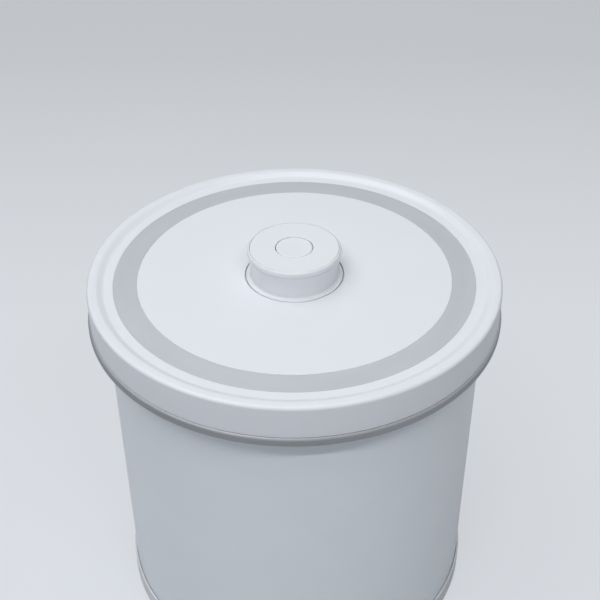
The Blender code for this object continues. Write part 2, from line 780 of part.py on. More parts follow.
def make_piston(finish, parent):
    """The piston under the knob: a grooved edge for its seal and a hub for the rod."""
    groove_top = PISTON_TOP - (PISTON_HEIGHT - SEAL_GROOVE_HEIGHT) / 2
    groove_foot = groove_top - SEAL_GROOVE_HEIGHT
    skirt_inside = GROOVE_INSIDE - PISTON_WALL
    outline = [
        (PISTON_RADIUS, PISTON_TOP),
        (PISTON_RADIUS, groove_top),
        (GROOVE_INSIDE, groove_top),
        (GROOVE_INSIDE, groove_foot),
        (PISTON_RADIUS, groove_foot),
        (PISTON_RADIUS, PISTON_FOOT),
        (skirt_inside, PISTON_FOOT),
        (skirt_inside, PISTON_CEILING),
        (HUB_RADIUS, PISTON_CEILING),
        (HUB_RADIUS, HUB_FOOT),
        (ROD_BORE, HUB_FOOT),
        (ROD_BORE, PISTON_TOP),
    ]
    piston = turned("piston", outline, KNOB_SIDES, finish, parent)
    for number, place in enumerate(around(POST_COUNT, POST_PLACE)):
        hole = rod_mesh(
            "hole", SCREW_HOLE, PISTON_CEILING - OVERRUN, PISTON_TOP + OVERRUN, SCREW_SIDES
        )
        combine(piston, add_tool(f"piston_hole_{number + 1}", hole, place, parent), "DIFFERENCE")
    return settle(piston)


def make_piston_seal(finish, parent):
    """The lip seal in the piston's groove. Its lip leans up and out to the bore."""
    groove_top = PISTON_TOP - (PISTON_HEIGHT - SEAL_GROOVE_HEIGHT) / 2
    foot = groove_top - SEAL_GROOVE_HEIGHT + TOUCH
    inside = GROOVE_INSIDE + TOUCH
    lip = BORE_RADIUS - TOUCH
    top = groove_top - TOUCH
    valley = (inside + lip) / 2
    outline = [
        (inside + SEAL_LIP, top),
        (valley, foot + SEAL_LIP),
        (lip - SEAL_LIP, top),
        (lip, top),
        (PISTON_RADIUS, foot),
        (inside, foot),
        (inside, top),
    ]
    return turned("piston_seal", outline, KNOB_SIDES, finish, parent)


def make_button(finish, parent):
    """The release button: a dished cap with a skirt and a socket for the rod."""
    inside = BUTTON_RADIUS - BUTTON_WALL
    socket_inside = ROD_RADIUS + TOUCH
    outline = [
        (0, CAP_RISE - BUTTON_DISH),
        (BUTTON_DISH_PLACE_SHARE * BUTTON_RADIUS, CAP_RISE - BUTTON_DISH_SHARE * BUTTON_DISH),
        (BUTTON_RADIUS - BUTTON_ROUNDING, CAP_RISE),
        (BUTTON_RADIUS, CAP_RISE - BUTTON_ROUNDING),
        (BUTTON_RADIUS, BUTTON_FOOT),
        (inside, BUTTON_FOOT),
        (inside, BUTTON_CEILING),
        (socket_inside + SOCKET_WALL, BUTTON_CEILING),
        (socket_inside + SOCKET_WALL, SOCKET_FOOT),
        (socket_inside, SOCKET_FOOT),
        (socket_inside, BUTTON_CEILING),
        (0, BUTTON_CEILING),
    ]
    return turned("button", outline, BUTTON_SIDES, finish, parent, closed=False)


def rod_seal_height():
    """The middle of the rod's ring seal, near the top of the piston's hub."""
    return PISTON_TOP - ROD_SEAL_SECTION - TOUCH


def make_release_rod(finish, parent):
    """The rod from the button down to the valve, with grooves for its clip and its seal."""
    neck = ROD_RADIUS - ROD_GROOVE
    clip_neck = ROD_RADIUS - CLIP_GROOVE
    seal = rod_seal_height()
    reach = ROD_SEAL_SECTION + TOUCH
    outline = [
        (0, ROD_HEAD),
        (ROD_RADIUS, ROD_HEAD),
        (ROD_RADIUS, CLIP_TOP + TOUCH),
        (clip_neck, CLIP_TOP + TOUCH),
        (clip_neck, CLIP_UNDERSIDE - TOUCH),
        (ROD_RADIUS, CLIP_UNDERSIDE - TOUCH),
        (ROD_RADIUS, seal + reach),
        (neck, seal + reach),
        (neck, seal - reach),
        (ROD_RADIUS, seal - reach),
        (ROD_RADIUS, ROD_TIP + ROD_POINT),
        (ROD_RADIUS - ROD_POINT, ROD_TIP),
        (0, ROD_TIP),
    ]
    return turned("release_rod", outline, SMALL_SIDES, finish, parent, closed=False)


def make_rod_clip(finish, parent):
    """The spring clip that keeps the rod and the button in the knob, open at one side."""
    inside = ROD_RADIUS - CLIP_GROOVE + TOUCH
    outline = [
        (CLIP_RADIUS, CLIP_TOP),
        (CLIP_RADIUS, CLIP_UNDERSIDE),
        (inside, CLIP_UNDERSIDE),
        (inside, CLIP_TOP),
    ]
    clip = turned("rod_clip", outline, SMALL_SIDES, finish, parent)
    mesh = bpy.data.meshes.new("clip_mouth")
    shape = bmesh.new()
    bmesh.ops.create_cube(shape, size=1)
    mouth_height = CLIP_THICKNESS + OVERRUN + OVERRUN
    bmesh.ops.scale(shape, verts=shape.verts, vec=(CLIP_RADIUS * 2, CLIP_MOUTH, mouth_height))
    shape.to_mesh(mesh)
    shape.free()
    place = (CLIP_RADIUS, 0, (CLIP_TOP + CLIP_UNDERSIDE) / 2)
    combine(clip, add_tool("clip_mouth", mesh, place, parent), "DIFFERENCE")
    return settle(clip)


def make_container():
    """The pieces that stand still."""
    white_paint = material("white_painted_steel", (0.80, 0.82, 0.84), 0.35)
    steel = material("brushed_steel", (0.62, 0.62, 0.63), 0.28, 1.0)
    base_plastic = material("white_base_plastic", (0.78, 0.80, 0.82), 0.45)
    rubber = material("grey_rubber", (0.18, 0.18, 0.19), 0.8)
    make_container_shell(white_paint)
    make_rim_collar(steel)
    make_base_ring(base_plastic)
    make_feet(rubber)


def pump_spring_radius():
    """The bends' radius that keeps the straight stretches between them clear of the guide."""
    clear = GUIDE_RADIUS + GUIDE_WALL + TOUCH + PUMP_SPRING_WIRE
    return clear / math.cos(math.pi / POINTS_A_TURN)


def make_lid(axis):
    """The pieces that lift off together."""
    white = material("white_lid_plastic", (0.84, 0.86, 0.88), 0.3)
    satin = material("satin_trim_steel", (0.66, 0.66, 0.68), 0.32, 1.0)
    inner = material("inner_lid_plastic", (0.82, 0.83, 0.84), 0.4)
    silicone = material("clear_silicone", (0.72, 0.73, 0.74), 0.6)
    screw_steel = material("screw_steel", (0.55, 0.55, 0.56), 0.35, 1.0)
    spring_steel = material("spring_steel", (0.5, 0.5, 0.52), 0.3, 1.0)
    make_lid_cover(white, axis)
    make_lid_trim_ring(satin, axis)
    make_lid_base(inner, axis)
    make_lid_gasket(silicone, axis)
    make_pump_cylinder(inner, axis)
    make_cylinder_seal(silicone, axis)
    make_inlet_valve(silicone, axis)
    add_screws(
        "cylinder_screw",
        CYLINDER_SCREW_COUNT,
        BOSS_PLACE,
        EAR_UNDERSIDE - TOUCH,
        screw_steel,
        axis,
        turn=0.5,
    )
    helix(
        "pump_spring",
        pump_spring_radius(),
        PUMP_SPRING_WIRE,
        CHAMBER_FLOOR,
        PISTON_CEILING,
        PUMP_SPRING_TURNS,
        spring_steel,
        axis,
    )


def make_knob(axis):
    """The pieces that are pushed down together to pump."""
    white = material("white_knob_plastic", (0.84, 0.86, 0.88), 0.28)
    pump_plastic = material("pump_plastic", (0.75, 0.76, 0.78), 0.4)
    seal_rubber = material("seal_rubber", (0.6, 0.61, 0.62), 0.6)
    screw_steel = material("knob_screw_steel", (0.55, 0.55, 0.56), 0.35, 1.0)
    spring_steel = material("button_spring_steel", (0.5, 0.5, 0.52), 0.3, 1.0)
    make_knob_body(white, axis)
    make_knob_top(white, axis)
    make_piston(pump_plastic, axis)
    make_piston_seal(seal_rubber, axis)
    add_screws(
        "piston_screw",
        POST_COUNT,
        POST_PLACE,
        PISTON_CEILING - TOUCH,
        screw_steel,
        axis,
        turn=0.0,
    )
    helix(
        "button_spring",
        BUTTON_SPRING_RADIUS,
        BUTTON_SPRING_WIRE,
        WELL_FLOOR,
        BUTTON_CEILING,
        BUTTON_SPRING_TURNS,
        spring_steel,
        axis,
    )


def make_button_group(axis):
    """The pieces that the finger pushes down in the knob."""
    white = material("white_button_plastic", (0.84, 0.86, 0.88), 0.28)
    steel = material("rod_steel", (0.6, 0.6, 0.61), 0.25, 1.0)
    rubber = material("rod_seal_rubber", (0.15, 0.15, 0.16), 0.7)
    make_button(white, axis)
    make_release_rod(steel, axis)
    make_rod_clip(steel, axis)
    ring_seal(
        "rod_seal",
        ROD_RADIUS - ROD_GROOVE + TOUCH + ROD_SEAL_SECTION,
        ROD_SEAL_SECTION,
        rod_seal_height(),
        SMALL_SIDES,
        rubber,
        axis,
    )


def main():
    clear_scene()
    lid_axis = add_axis("lid_axis", LID_PLANE)
    knob_axis = add_axis("knob_axis", 0, lid_axis)
    button_axis = add_axis("button_axis", 0, knob_axis)
    make_container()
    make_lid(lid_axis)
    make_knob(knob_axis)
    make_button_group(button_axis)


main()
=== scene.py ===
import math

import bpy
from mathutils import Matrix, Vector


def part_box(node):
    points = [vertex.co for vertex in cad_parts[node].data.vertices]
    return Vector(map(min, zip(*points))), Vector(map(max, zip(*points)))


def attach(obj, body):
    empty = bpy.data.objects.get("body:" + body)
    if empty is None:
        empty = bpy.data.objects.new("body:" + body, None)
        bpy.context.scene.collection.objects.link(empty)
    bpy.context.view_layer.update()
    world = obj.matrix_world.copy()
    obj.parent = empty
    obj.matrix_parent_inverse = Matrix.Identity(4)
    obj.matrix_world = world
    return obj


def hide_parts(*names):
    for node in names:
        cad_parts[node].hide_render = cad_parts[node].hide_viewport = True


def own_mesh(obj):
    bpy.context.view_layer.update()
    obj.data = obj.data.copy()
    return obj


# A round steel bin with a pump in its lid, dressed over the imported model.
# Outlines are radius and height pairs in millimetres, with a rounding where a third number stands.
# Heights of the lid, the knob and the button count from the flat top of the lid.

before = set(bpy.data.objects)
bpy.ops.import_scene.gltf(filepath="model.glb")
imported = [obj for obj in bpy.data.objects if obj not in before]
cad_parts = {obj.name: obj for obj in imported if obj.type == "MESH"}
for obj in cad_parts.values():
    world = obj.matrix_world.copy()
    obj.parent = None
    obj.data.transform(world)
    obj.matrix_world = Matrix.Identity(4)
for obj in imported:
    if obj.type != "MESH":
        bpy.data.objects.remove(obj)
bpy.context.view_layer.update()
print("frame loaded:", len(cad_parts), "nodes")

mm = 0.001
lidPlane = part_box("lid_trim_ring")[1].z / mm  # the flat top of the lid
look = {
    "largeSides": 180,
    "knobSides": 120,
    "buttonSides": 72,
    "padSides": 48,
    "smallSides": 32,
    "rodSides": 24,
    "arcStep": 20,  # degrees of a rounding that one face takes
    "arcRoom": 0.46,  # share of the shorter side that a rounding may take
    "arcHold": 0.35,  # how far past a rounding its holding point lies, as a share of its reach
    "weld": 0.006 * mm,
    "smooth": math.radians(38),
    "wireSmooth": math.radians(60),
}
spare = 1  # how far a cutter reaches past what it cuts
root = 0.6  # how far a boss or a post reaches into the wall that carries it


# the camera stands at the photograph's viewing angle
camera = {
    "place": (0.003808, -0.624339, 0.715201),
    "turn": (53.52922, 0.251667, -0.186024),
    "lens": 64.466,
    "sensor": 36,
    "near": 0.01,
}


def makeCamera():
    bpy.ops.object.camera_add(
        location=camera["place"],
        rotation=[math.radians(angle) for angle in camera["turn"]],
    )
    made = bpy.context.object
    made.name = "photoCamera"
    made.data.lens = camera["lens"]
    made.data.sensor_width = camera["sensor"]
    made.data.clip_start = camera["near"]
    bpy.context.scene.camera = made


makeCamera()
print("camera set")


# tools for nodes, and the two groups that the finishes share
def newGroup(name, inputs, outputs):
    group = bpy.data.node_groups.new(name, "ShaderNodeTree")
    for label, kind, value in inputs:
        socket = group.interface.new_socket(label, in_out="INPUT", socket_type=kind)
        if value is not None:
            socket.default_value = value
    for label in outputs:
        group.interface.new_socket(label, in_out="OUTPUT", socket_type="NodeSocketFloat")
    return group


def addNode(tree, kind, at, **settings):
    node = tree.nodes.new(kind)
    node.location = (at[0] * 200, at[1] * -180)
    for label, value in settings.items():
        setattr(node, label, value)
    return node


def mathNode(tree, operation, at, first, second=None):
    node = addNode(tree, "ShaderNodeMath", at, operation=operation)
    for socket, value in ((node.inputs[0], first), (node.inputs[1], second)):
        if isinstance(value, (int, float)):
            socket.default_value = value
        elif value is not None:
            tree.links.new(value, socket)
    return node.outputs[0]


def noiseNode(tree, at, vector, scale, detail=2.0, roughness=0.5, dimensions="3D", w=None):
    node = addNode(tree, "ShaderNodeTexNoise", at, noise_dimensions=dimensions)
    node.inputs["Detail"].default_value = detail
    node.inputs["Roughness"].default_value = roughness
    if isinstance(scale, (int, float)):
        node.inputs["Scale"].default_value = scale
    else:
        tree.links.new(scale, node.inputs["Scale"])
    tree.links.new(vector, node.inputs["Vector"])
    if w is not None:
        tree.links.new(w, node.inputs["W"])
    return node.outputs["Fac"]


def rangeNode(tree, at, value, low, high, newLow=0.0, newHigh=1.0):
    node = addNode(tree, "ShaderNodeMapRange", at, clamp=True)
    node.inputs["From Min"].default_value = low
    node.inputs["From Max"].default_value = high
    node.inputs["To Min"].default_value = newLow
    node.inputs["To Max"].default_value = newHigh
    tree.links.new(value, node.inputs["Value"])
    return node.outputs["Result"]


def buildMouldSkin():
    # moulded plastic, paint and rubber: a fine skin, slow waves and faint handling marks
    group = newGroup(
        "mouldSkin",
        [
            ("Vector", "NodeSocketVector", None),
            ("Grain Scale", "NodeSocketFloat", 1400.0),
            ("Wave Scale", "NodeSocketFloat", 22.0),
        ],
        ["Grain", "Wave", "Marks"],
    )
    start = addNode(group, "NodeGroupInput", (0, 0))
    end = addNode(group, "NodeGroupOutput", (6, 0))
    place = start.outputs["Vector"]
    grain = noiseNode(group, (2, 0), place, start.outputs["Grain Scale"], 3.0, 0.55)
    wave = noiseNode(group, (2, 1), place, start.outputs["Wave Scale"], 2.0, 0.45)
    drift = noiseNode(group, (2, 2), place, 9.0, 4.0, 0.6)
    streak = noiseNode(group, (2, 3), place, 55.0, 5.0, 0.7)
    blotch = rangeNode(group, (3, 2), drift, 0.52, 0.72)
    marks = mathNode(group, "MULTIPLY", (4, 2), blotch, rangeNode(group, (3, 3), streak, 0.4, 0.65))
    group.links.new(grain, end.inputs["Grain"])
    group.links.new(rangeNode(group, (3, 1), wave, 0.3, 0.7), end.inputs["Wave"])
    group.links.new(marks, end.inputs["Marks"])
    return group


def buildTurnedLines():
    # lines that run round the axis, as rolling, spinning and brushing leave on sheet steel
    group = newGroup(
        "turnedLines",
        [
            ("Vector", "NodeSocketVector", None),
            ("Line Scale", "NodeSocketFloat", 2600.0),
            ("Length", "NodeSocketFloat", 5.0),
        ],
        ["Fine", "Bands"],
    )
    start = addNode(group, "NodeGroupInput", (0, 0))
    end = addNode(group, "NodeGroupOutput", (9, 0))
    flat = addNode(group, "ShaderNodeVectorMath", (1, 0), operation="MULTIPLY")
    flat.inputs[1].default_value = (1, 1, 0)
    group.links.new(start.outputs["Vector"], flat.inputs[0])
    radius = addNode(group, "ShaderNodeVectorMath", (2, 0), operation="LENGTH")
    group.links.new(flat.outputs["Vector"], radius.inputs[0])
    around = addNode(group, "ShaderNodeVectorMath", (2, 1), operation="NORMALIZE")
    group.links.new(flat.outputs["Vector"], around.inputs[0])
    split = addNode(group, "ShaderNodeSeparateXYZ", (3, 1))
    group.links.new(around.outputs["Vector"], split.inputs[0])
    height = addNode(group, "ShaderNodeSeparateXYZ", (3, 2))
    group.links.new(start.outputs["Vector"], height.inputs[0])
    length = start.outputs["Length"]
    lineScale = start.outputs["Line Scale"]
    across = mathNode(group, "MULTIPLY", (4, 0), radius.outputs["Value"], lineScale)
    upward = mathNode(group, "MULTIPLY", (4, 3), height.outputs["Z"], lineScale)
    lines = addNode(group, "ShaderNodeCombineXYZ", (5, 1))
    group.links.new(mathNode(group, "MULTIPLY", (4, 1), split.outputs["X"], length), lines.inputs["X"])
    group.links.new(mathNode(group, "MULTIPLY", (4, 2), split.outputs["Y"], length), lines.inputs["Y"])
    group.links.new(across, lines.inputs["Z"])
    fine = noiseNode(group, (6, 0), lines.outputs[0], 1.0, 3.0, 0.6, "4D", upward)
    slowUp = mathNode(group, "MULTIPLY", (5, 3), upward, 0.03)
    slow = addNode(group, "ShaderNodeVectorMath", (6, 2), operation="MULTIPLY")
    slow.inputs[1].default_value = (0.6, 0.6, 0.03)
    group.links.new(lines.outputs[0], slow.inputs[0])
    bands = noiseNode(group, (7, 2), slow.outputs["Vector"], 1.0, 2.0, 0.5, "4D", slowUp)
    group.links.new(fine, end.inputs["Fine"])
    group.links.new(rangeNode(group, (8, 2), bands, 0.3, 0.7), end.inputs["Bands"])
    return group


mouldSkin = buildMouldSkin()
turnedLines = buildTurnedLines()
bumpStrength = 0.5
smudge = 0.05  # how much rougher a handled place is


# the finishes
def startFinish(name, group, values):
    finish = bpy.data.materials.new(name)
    finish.use_nodes = True
    tree = finish.node_tree
    shader = tree.nodes["Principled BSDF"]
    shader.location = (1600, 0)
    place = addNode(tree, "ShaderNodeTexCoord", (0, 0))
    node = addNode(tree, "ShaderNodeGroup", (1, 0))
    node.node_tree = group
    for label, value in values.items():
        node.inputs[label].default_value = value
    tree.links.new(place.outputs["Object"], node.inputs["Vector"])
    return finish, tree, shader, node


def mixColor(tree, at, share, first, second):
    node = addNode(tree, "ShaderNodeMix", at, data_type="RGBA")
    tree.links.new(share, node.inputs["Factor"])
    node.inputs[6].default_value = (*first, 1)
    node.inputs[7].default_value = (*second, 1)
    return node.outputs[2]


def bumpNode(tree, at, height, distance, under=None):
    node = addNode(tree, "ShaderNodeBump", at)
    node.inputs["Strength"].default_value = bumpStrength
    node.inputs["Distance"].default_value = distance
    tree.links.new(height, node.inputs["Height"])
    if under is not None:
        tree.links.new(under, node.inputs["Normal"])
    return node.outputs["Normal"]


def setSockets(shader, sockets):
    for label, value in sockets.items():
        shader.inputs[label.replace("_", " ")].default_value = value


def plasticFinish(
    name, light, deep, rough, grain=1400.0, grainHeight=0.01, wave=22.0, waveHeight=0.02, **sockets
):
    # a skin with colour that drifts a little, fine grain, slow waves and smudges in its gloss
    values = {"Grain Scale": grain, "Wave Scale": wave}
    finish, tree, shader, skin = startFinish(name, mouldSkin, values)
    color = mixColor(tree, (4, 0), skin.outputs["Wave"], light, deep)
    tree.links.new(color, shader.inputs["Base Color"])
    gloss = mathNode(tree, "MULTIPLY_ADD", (4, 1), skin.outputs["Marks"], smudge)
    gloss.node.inputs[2].default_value = rough
    tree.links.new(gloss, shader.inputs["Roughness"])
    waves = bumpNode(tree, (4, 2), skin.outputs["Wave"], waveHeight * mm)
    grains = bumpNode(tree, (5, 2), skin.outputs["Grain"], grainHeight * mm, waves)
    tree.links.new(grains, shader.inputs["Normal"])
    setSockets(shader, sockets)
    return finish


def steelFinish(name, light, deep, roughLow, roughHigh, lines, length, lineHeight):
    # bare steel: bright and dull lines round the axis
    values = {"Line Scale": lines, "Length": length}
    finish, tree, shader, turned = startFinish(name, turnedLines, values)
    shader.inputs["Metallic"].default_value = 1.0
    color = mixColor(tree, (4, 0), turned.outputs["Bands"], light, deep)
    tree.links.new(color, shader.inputs["Base Color"])
    rough = rangeNode(tree, (4, 1), turned.outputs["Fine"], 0.3, 0.7, roughLow, roughHigh)
    tree.links.new(rough, shader.inputs["Roughness"])
    ridges = bumpNode(tree, (4, 2), turned.outputs["Fine"], lineHeight * mm)
    tree.links.new(ridges, shader.inputs["Normal"])
    return finish


lidWhite = plasticFinish("lidWhite", (0.81, 0.835, 0.885), (0.80, 0.825, 0.875), 0.28, Coat_Weight=0.1)
knobWhite = plasticFinish("knobWhite", (0.81, 0.84, 0.88), (0.80, 0.83, 0.87), 0.24, Coat_Weight=0.2)
innerWhite = plasticFinish("innerWhite", (0.76, 0.77, 0.78), (0.73, 0.745, 0.76), 0.42, grainHeight=0.02)
paintWhite = plasticFinish(
    "paintWhite", (0.87, 0.915, 0.955), (0.855, 0.90, 0.94), 0.28, 900.0, 0.012, 30.0, 0.03
)
baseWhite = plasticFinish("baseWhite", (0.72, 0.74, 0.76), (0.69, 0.71, 0.735), 0.48, 1100.0, 0.04)
siliconeMilk = plasticFinish(
    "siliconeMilk", (0.70, 0.71, 0.71), (0.66, 0.67, 0.68), 0.5, 1600.0, 0.02, Subsurface_Weight=0.15
)
footRubber = plasticFinish("footRubber", (0.16, 0.16, 0.17), (0.12, 0.12, 0.13), 0.72, 1200.0, 0.06)
sealRubber = plasticFinish("sealRubber", (0.24, 0.24, 0.25), (0.19, 0.19, 0.20), 0.6, 1600.0, 0.03)
trimSatin = steelFinish(
    "trimSatin", (0.555, 0.565, 0.585), (0.525, 0.535, 0.555), 0.36, 0.46, 3200.0, 4.0, 0.003
)
collarSteel = steelFinish(
    "collarSteel", (0.39, 0.395, 0.41), (0.34, 0.35, 0.365), 0.44, 0.56, 2400.0, 3.0, 0.004
)
innerSteel = steelFinish(
    "innerSteel", (0.70, 0.705, 0.71), (0.64, 0.645, 0.65), 0.26, 0.42, 1800.0, 6.0, 0.005
)
screwSteel = steelFinish(
    "screwSteel", (0.56, 0.56, 0.57), (0.48, 0.48, 0.49), 0.24, 0.4, 5000.0, 3.0, 0.004
)
springSteel = steelFinish(
    "springSteel", (0.52, 0.52, 0.53), (0.42, 0.42, 0.43), 0.26, 0.42, 6000.0, 8.0, 0.003
)
print("finishes made")


# tools for turning and finishing pieces
def roundedOutline(points, closed=True):
    # turns each corner that has a rounding into a short arc, with a holding point on either side
    made = []
    count = len(points)
    for at, point in enumerate(points):
        here = Vector(point[:2])
        rounding = point[2] if len(point) > 2 else 0
        if rounding == 0 or (not closed and at in (0, count - 1)):
            made.append(here)
            continue
        back = Vector(points[at - 1][:2]) - here
        onward = Vector(points[(at + 1) % count][:2]) - here
        half = back.angle(onward) / 2
        room = min(back.length, onward.length) * look["arcRoom"]
        reach = min(rounding / math.tan(half), room)
        radius = reach * math.tan(half)
        back.normalize()
        onward.normalize()
        middle = here + (back + onward).normalized() * (radius / math.sin(half))
        first = here + back * reach - middle
        last = here + onward * reach - middle
        steps = max(2, round(math.degrees(math.pi - 2 * half) / look["arcStep"]))
        hold = reach * look["arcHold"]
        if room > reach + hold:
            made.append(here + back * (reach + hold))
        for step in range(steps + 1):
            turnBy = first.angle_signed(last) * step / steps
            cosTurn, sinTurn = math.cos(turnBy), math.sin(-turnBy)
            across = first.x * cosTurn - first.y * sinTurn
            along = first.x * sinTurn + first.y * cosTurn
            made.append(middle + Vector((across, along)))
        if room > reach + hold:
            made.append(here + onward * (reach + hold))
    return made


def arcPoints(middle, radius, start, end, steps):
    points = []
    for step in range(steps + 1):
        angle = math.radians(start + (end - start) * step / steps)
        points.append((middle[0] + radius * math.cos(angle), middle[1] + radius * math.sin(angle)))
    return points


def drawOutline(name, outline, base, closed):
    # one point is drawn out along the outline with extrude
    bpy.ops.object.select_all(action="DESELECT")
    first = outline[0]
    bpy.ops.mesh.primitive_plane_add(size=mm, location=(first[0] * mm, 0, (base + first[1]) * mm))
    piece = bpy.context.object
    piece.name = piece.data.name = name
    bpy.ops.object.mode_set(mode="EDIT")
    bpy.ops.mesh.merge(type="CENTER")
    stops = list(outline[1:]) + ([first] if closed else [])
    here = first
    for stop in stops:
        move = ((stop[0] - here[0]) * mm, 0, (stop[1] - here[1]) * mm)
        bpy.ops.mesh.extrude_vertices_move(TRANSFORM_OT_translate={"value": move})
        here = stop
    bpy.ops.mesh.select_all(action="SELECT")
    bpy.ops.mesh.remove_doubles(threshold=look["weld"])
    return piece


def turnPiece(name, points, sides, base=0.0, closed=True):
    # draws an outline and spins it about the axis
    piece = drawOutline(name, roundedOutline(points, closed), base, closed)
    bpy.ops.mesh.spin(steps=sides, angle=math.tau, center=(0, 0, 0), axis=(0, 0, 1), use_auto_merge=True)
    bpy.ops.mesh.select_all(action="SELECT")
    bpy.ops.mesh.remove_doubles(threshold=look["weld"])
    bpy.ops.mesh.normals_make_consistent(inside=False)
    bpy.ops.object.mode_set(mode="OBJECT")
    bpy.ops.object.transform_apply(location=True, rotation=True, scale=True)
    return piece


def ringPlaces(count, radius, turn=0.0):
    angles = [math.tau * (number + turn) / count for number in range(count)]
    return [(radius * math.cos(angle), radius * math.sin(angle)) for angle in angles]


def addRods(places, radius, bottom, top, base, sides=look["rodSides"]):
    # upright rods at several places, joined in one helper for a boolean
    bpy.ops.object.select_all(action="DESELECT")
    rods = []
    for x, y in places:
        bpy.ops.mesh.primitive_cylinder_add(
            vertices=sides,
            radius=radius * mm,
            depth=(top - bottom) * mm,
            location=(x * mm, y * mm, (base + (top + bottom) / 2) * mm),
        )
        rods.append(bpy.context.object)
    for rod in rods:
        rod.select_set(True)
    bpy.ops.object.join()
    return bpy.context.object


def applyModifier(piece, kind, **settings):
    bpy.ops.object.select_all(action="DESELECT")
    piece.select_set(True)
    bpy.context.view_layer.objects.active = piece
    bpy.ops.object.modifier_add(type=kind)
    step = piece.modifiers[-1]
    for label, value in settings.items():
        setattr(step, label, value)
    bpy.ops.object.modifier_apply(modifier=step.name)


def combine(piece, helper, operation):
    applyModifier(piece, "BOOLEAN", operation=operation, solver="EXACT", object=helper)
    bpy.data.objects.remove(helper, do_unlink=True)


def dress(piece, finishes, body, nodes, angle=look["smooth"]):
    # last touches: smooth shading, finish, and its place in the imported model
    for finish in finishes:
        piece.data.materials.append(finish)
    bpy.ops.object.select_all(action="DESELECT")
    piece.select_set(True)
    bpy.context.view_layer.objects.active = piece
    bpy.ops.object.shade_smooth_by_angle(angle=angle)
    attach(piece, body)
    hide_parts(*nodes)
    return piece


def paintFaces(piece, number, wanted):
    # gives another finish to the faces that a test picks by their middle and normal
    for face in piece.data.polygons:
        if wanted(face.center / mm, face.normal):
            face.material_index = number


# the container
shell = {
    "radius": 135,
    "sheet": 0.8,
    "foot": 5.6,
    "top": 255.45,
    "corner": 6,
    "flat": 16,
    "slope": 4,
    "rise": 2.2,
    "bareShare": 0.6,  # of the sheet, from where the wall counts as its bare inside
    "bareUp": 0.3,  # how far up a bare face of the bottom looks
}


def makeContainerShell():
    outer, sheet = shell["radius"], shell["sheet"]
    foot, corner = shell["foot"], shell["corner"]
    bend = outer - corner
    flat = bend - shell["flat"]
    raised = flat - shell["slope"]
    middle = (bend, foot + corner)
    bottom = foot + shell["rise"]
    points = [(0, bottom), (raised, bottom, 2), (flat, foot, 2)]
    points += arcPoints(middle, corner, -90, 0, 8)
    points += [(outer, shell["top"], 0.15), (outer - sheet, shell["top"], 0.15)]
    points += arcPoints(middle, corner - sheet, 0, -90, 8)
    points += [(flat, foot + sheet, 2.8), (raised, bottom + sheet, 1.2), (0, bottom + sheet)]
    piece = turnPiece("containerShell", points, look["largeSides"], closed=False)
    inside = outer - sheet * shell["bareShare"]

    def isBare(middle, normal):
        radius = math.hypot(middle.x, middle.y)
        return (radius < inside and middle.z > foot + corner) or normal.z > shell["bareUp"]

    paintFaces(piece, 1, isBare)
    dress(piece, [paintWhite, innerSteel], "container", ["container_shell"])


collar = {
    "sleeve": 133.1,
    "depth": 14,
    "curl": 145.3,
    "curlRadius": 2.2,
    "curlWall": 2.7,
    "top": 256.55,
    "sheet": 0.8,
    "bend": 0.5,
}


def makeRimCollar():
    top, sheet, curl = collar["top"], collar["sheet"], collar["curlRadius"]
    bend = collar["bend"]
    upper = (collar["curl"], top - curl)
    lower = (collar["curl"], top - curl - collar["curlWall"])
    points = [(collar["sleeve"], top - collar["depth"], 0.15)]
    points += arcPoints((collar["sleeve"] + bend, top - bend), bend, 180, 90, 4)
    points += arcPoints(upper, curl, 90, 0, 8)
    points += arcPoints(lower, curl, 0, -180, 16)
    points += arcPoints(lower, curl - sheet, -180, 0, 16)
    points += arcPoints(upper, curl - sheet, 0, 90, 8)
    points += [
        (collar["sleeve"] + sheet, top - sheet),
        (collar["sleeve"] + sheet, top - collar["depth"], 0.15),
    ]
    piece = turnPiece("rimCollar", points, look["largeSides"])
    dress(piece, [collarSteel], "container", ["rim_collar"])


footRing = {
    "outside": 136.9,
    "inside": 135.3,
    "top": 16.3,
    "foot": 1.5,
    "shelfTop": 5.3,
    "shelfInside": 118,
    "corner": 6,
}
foot = {
    "radius": 6.5,
    "top": 3.0,
    "dimple": (2.6, 3.3, 0.5),  # its radius inside and outside, and its depth
    "places": ringPlaces(4, 127.45, 0.5),
    "pocket": 6.8,
    "pocketTop": 3.3,
}


def makeBaseRing():
    ring = footRing
    bend = ring["inside"] - ring["corner"]
    points = [
        (ring["outside"], ring["top"], 0.7),
        (ring["outside"], ring["foot"], 0.8),
        (ring["shelfInside"], ring["foot"], 0.5),
        (ring["shelfInside"], ring["shelfTop"], 0.5),
    ]
    points += arcPoints((bend, ring["shelfTop"] + ring["corner"]), ring["corner"], -90, 0, 8)
    points.append((ring["inside"], ring["top"], 0.3))
    piece = turnPiece("baseRing", points, look["largeSides"])
    pockets = addRods(foot["places"], foot["pocket"], -spare, foot["pocketTop"], 0, look["padSides"])
    combine(piece, pockets, "DIFFERENCE")
    dress(piece, [baseWhite], "container", ["base_ring"])


def copyPiece(piece, name, move):
    # a copy with its own mesh, moved in the mesh itself
    bpy.ops.object.select_all(action="DESELECT")
    piece.select_set(True)
    bpy.context.view_layer.objects.active = piece
    bpy.ops.object.duplicate()
    made = bpy.context.object
    made.name = made.data.name = name
    made.location = (move[0] * mm, move[1] * mm, 0)
    bpy.ops.object.transform_apply(location=True, rotation=True, scale=True)
    return made


def spreadCopies(piece, names, places):
    # copies of a piece at its places, and the first one is gone
    made = [copyPiece(piece, name, place) for name, place in zip(names, places)]
    bpy.data.objects.remove(piece, do_unlink=True)
    return made


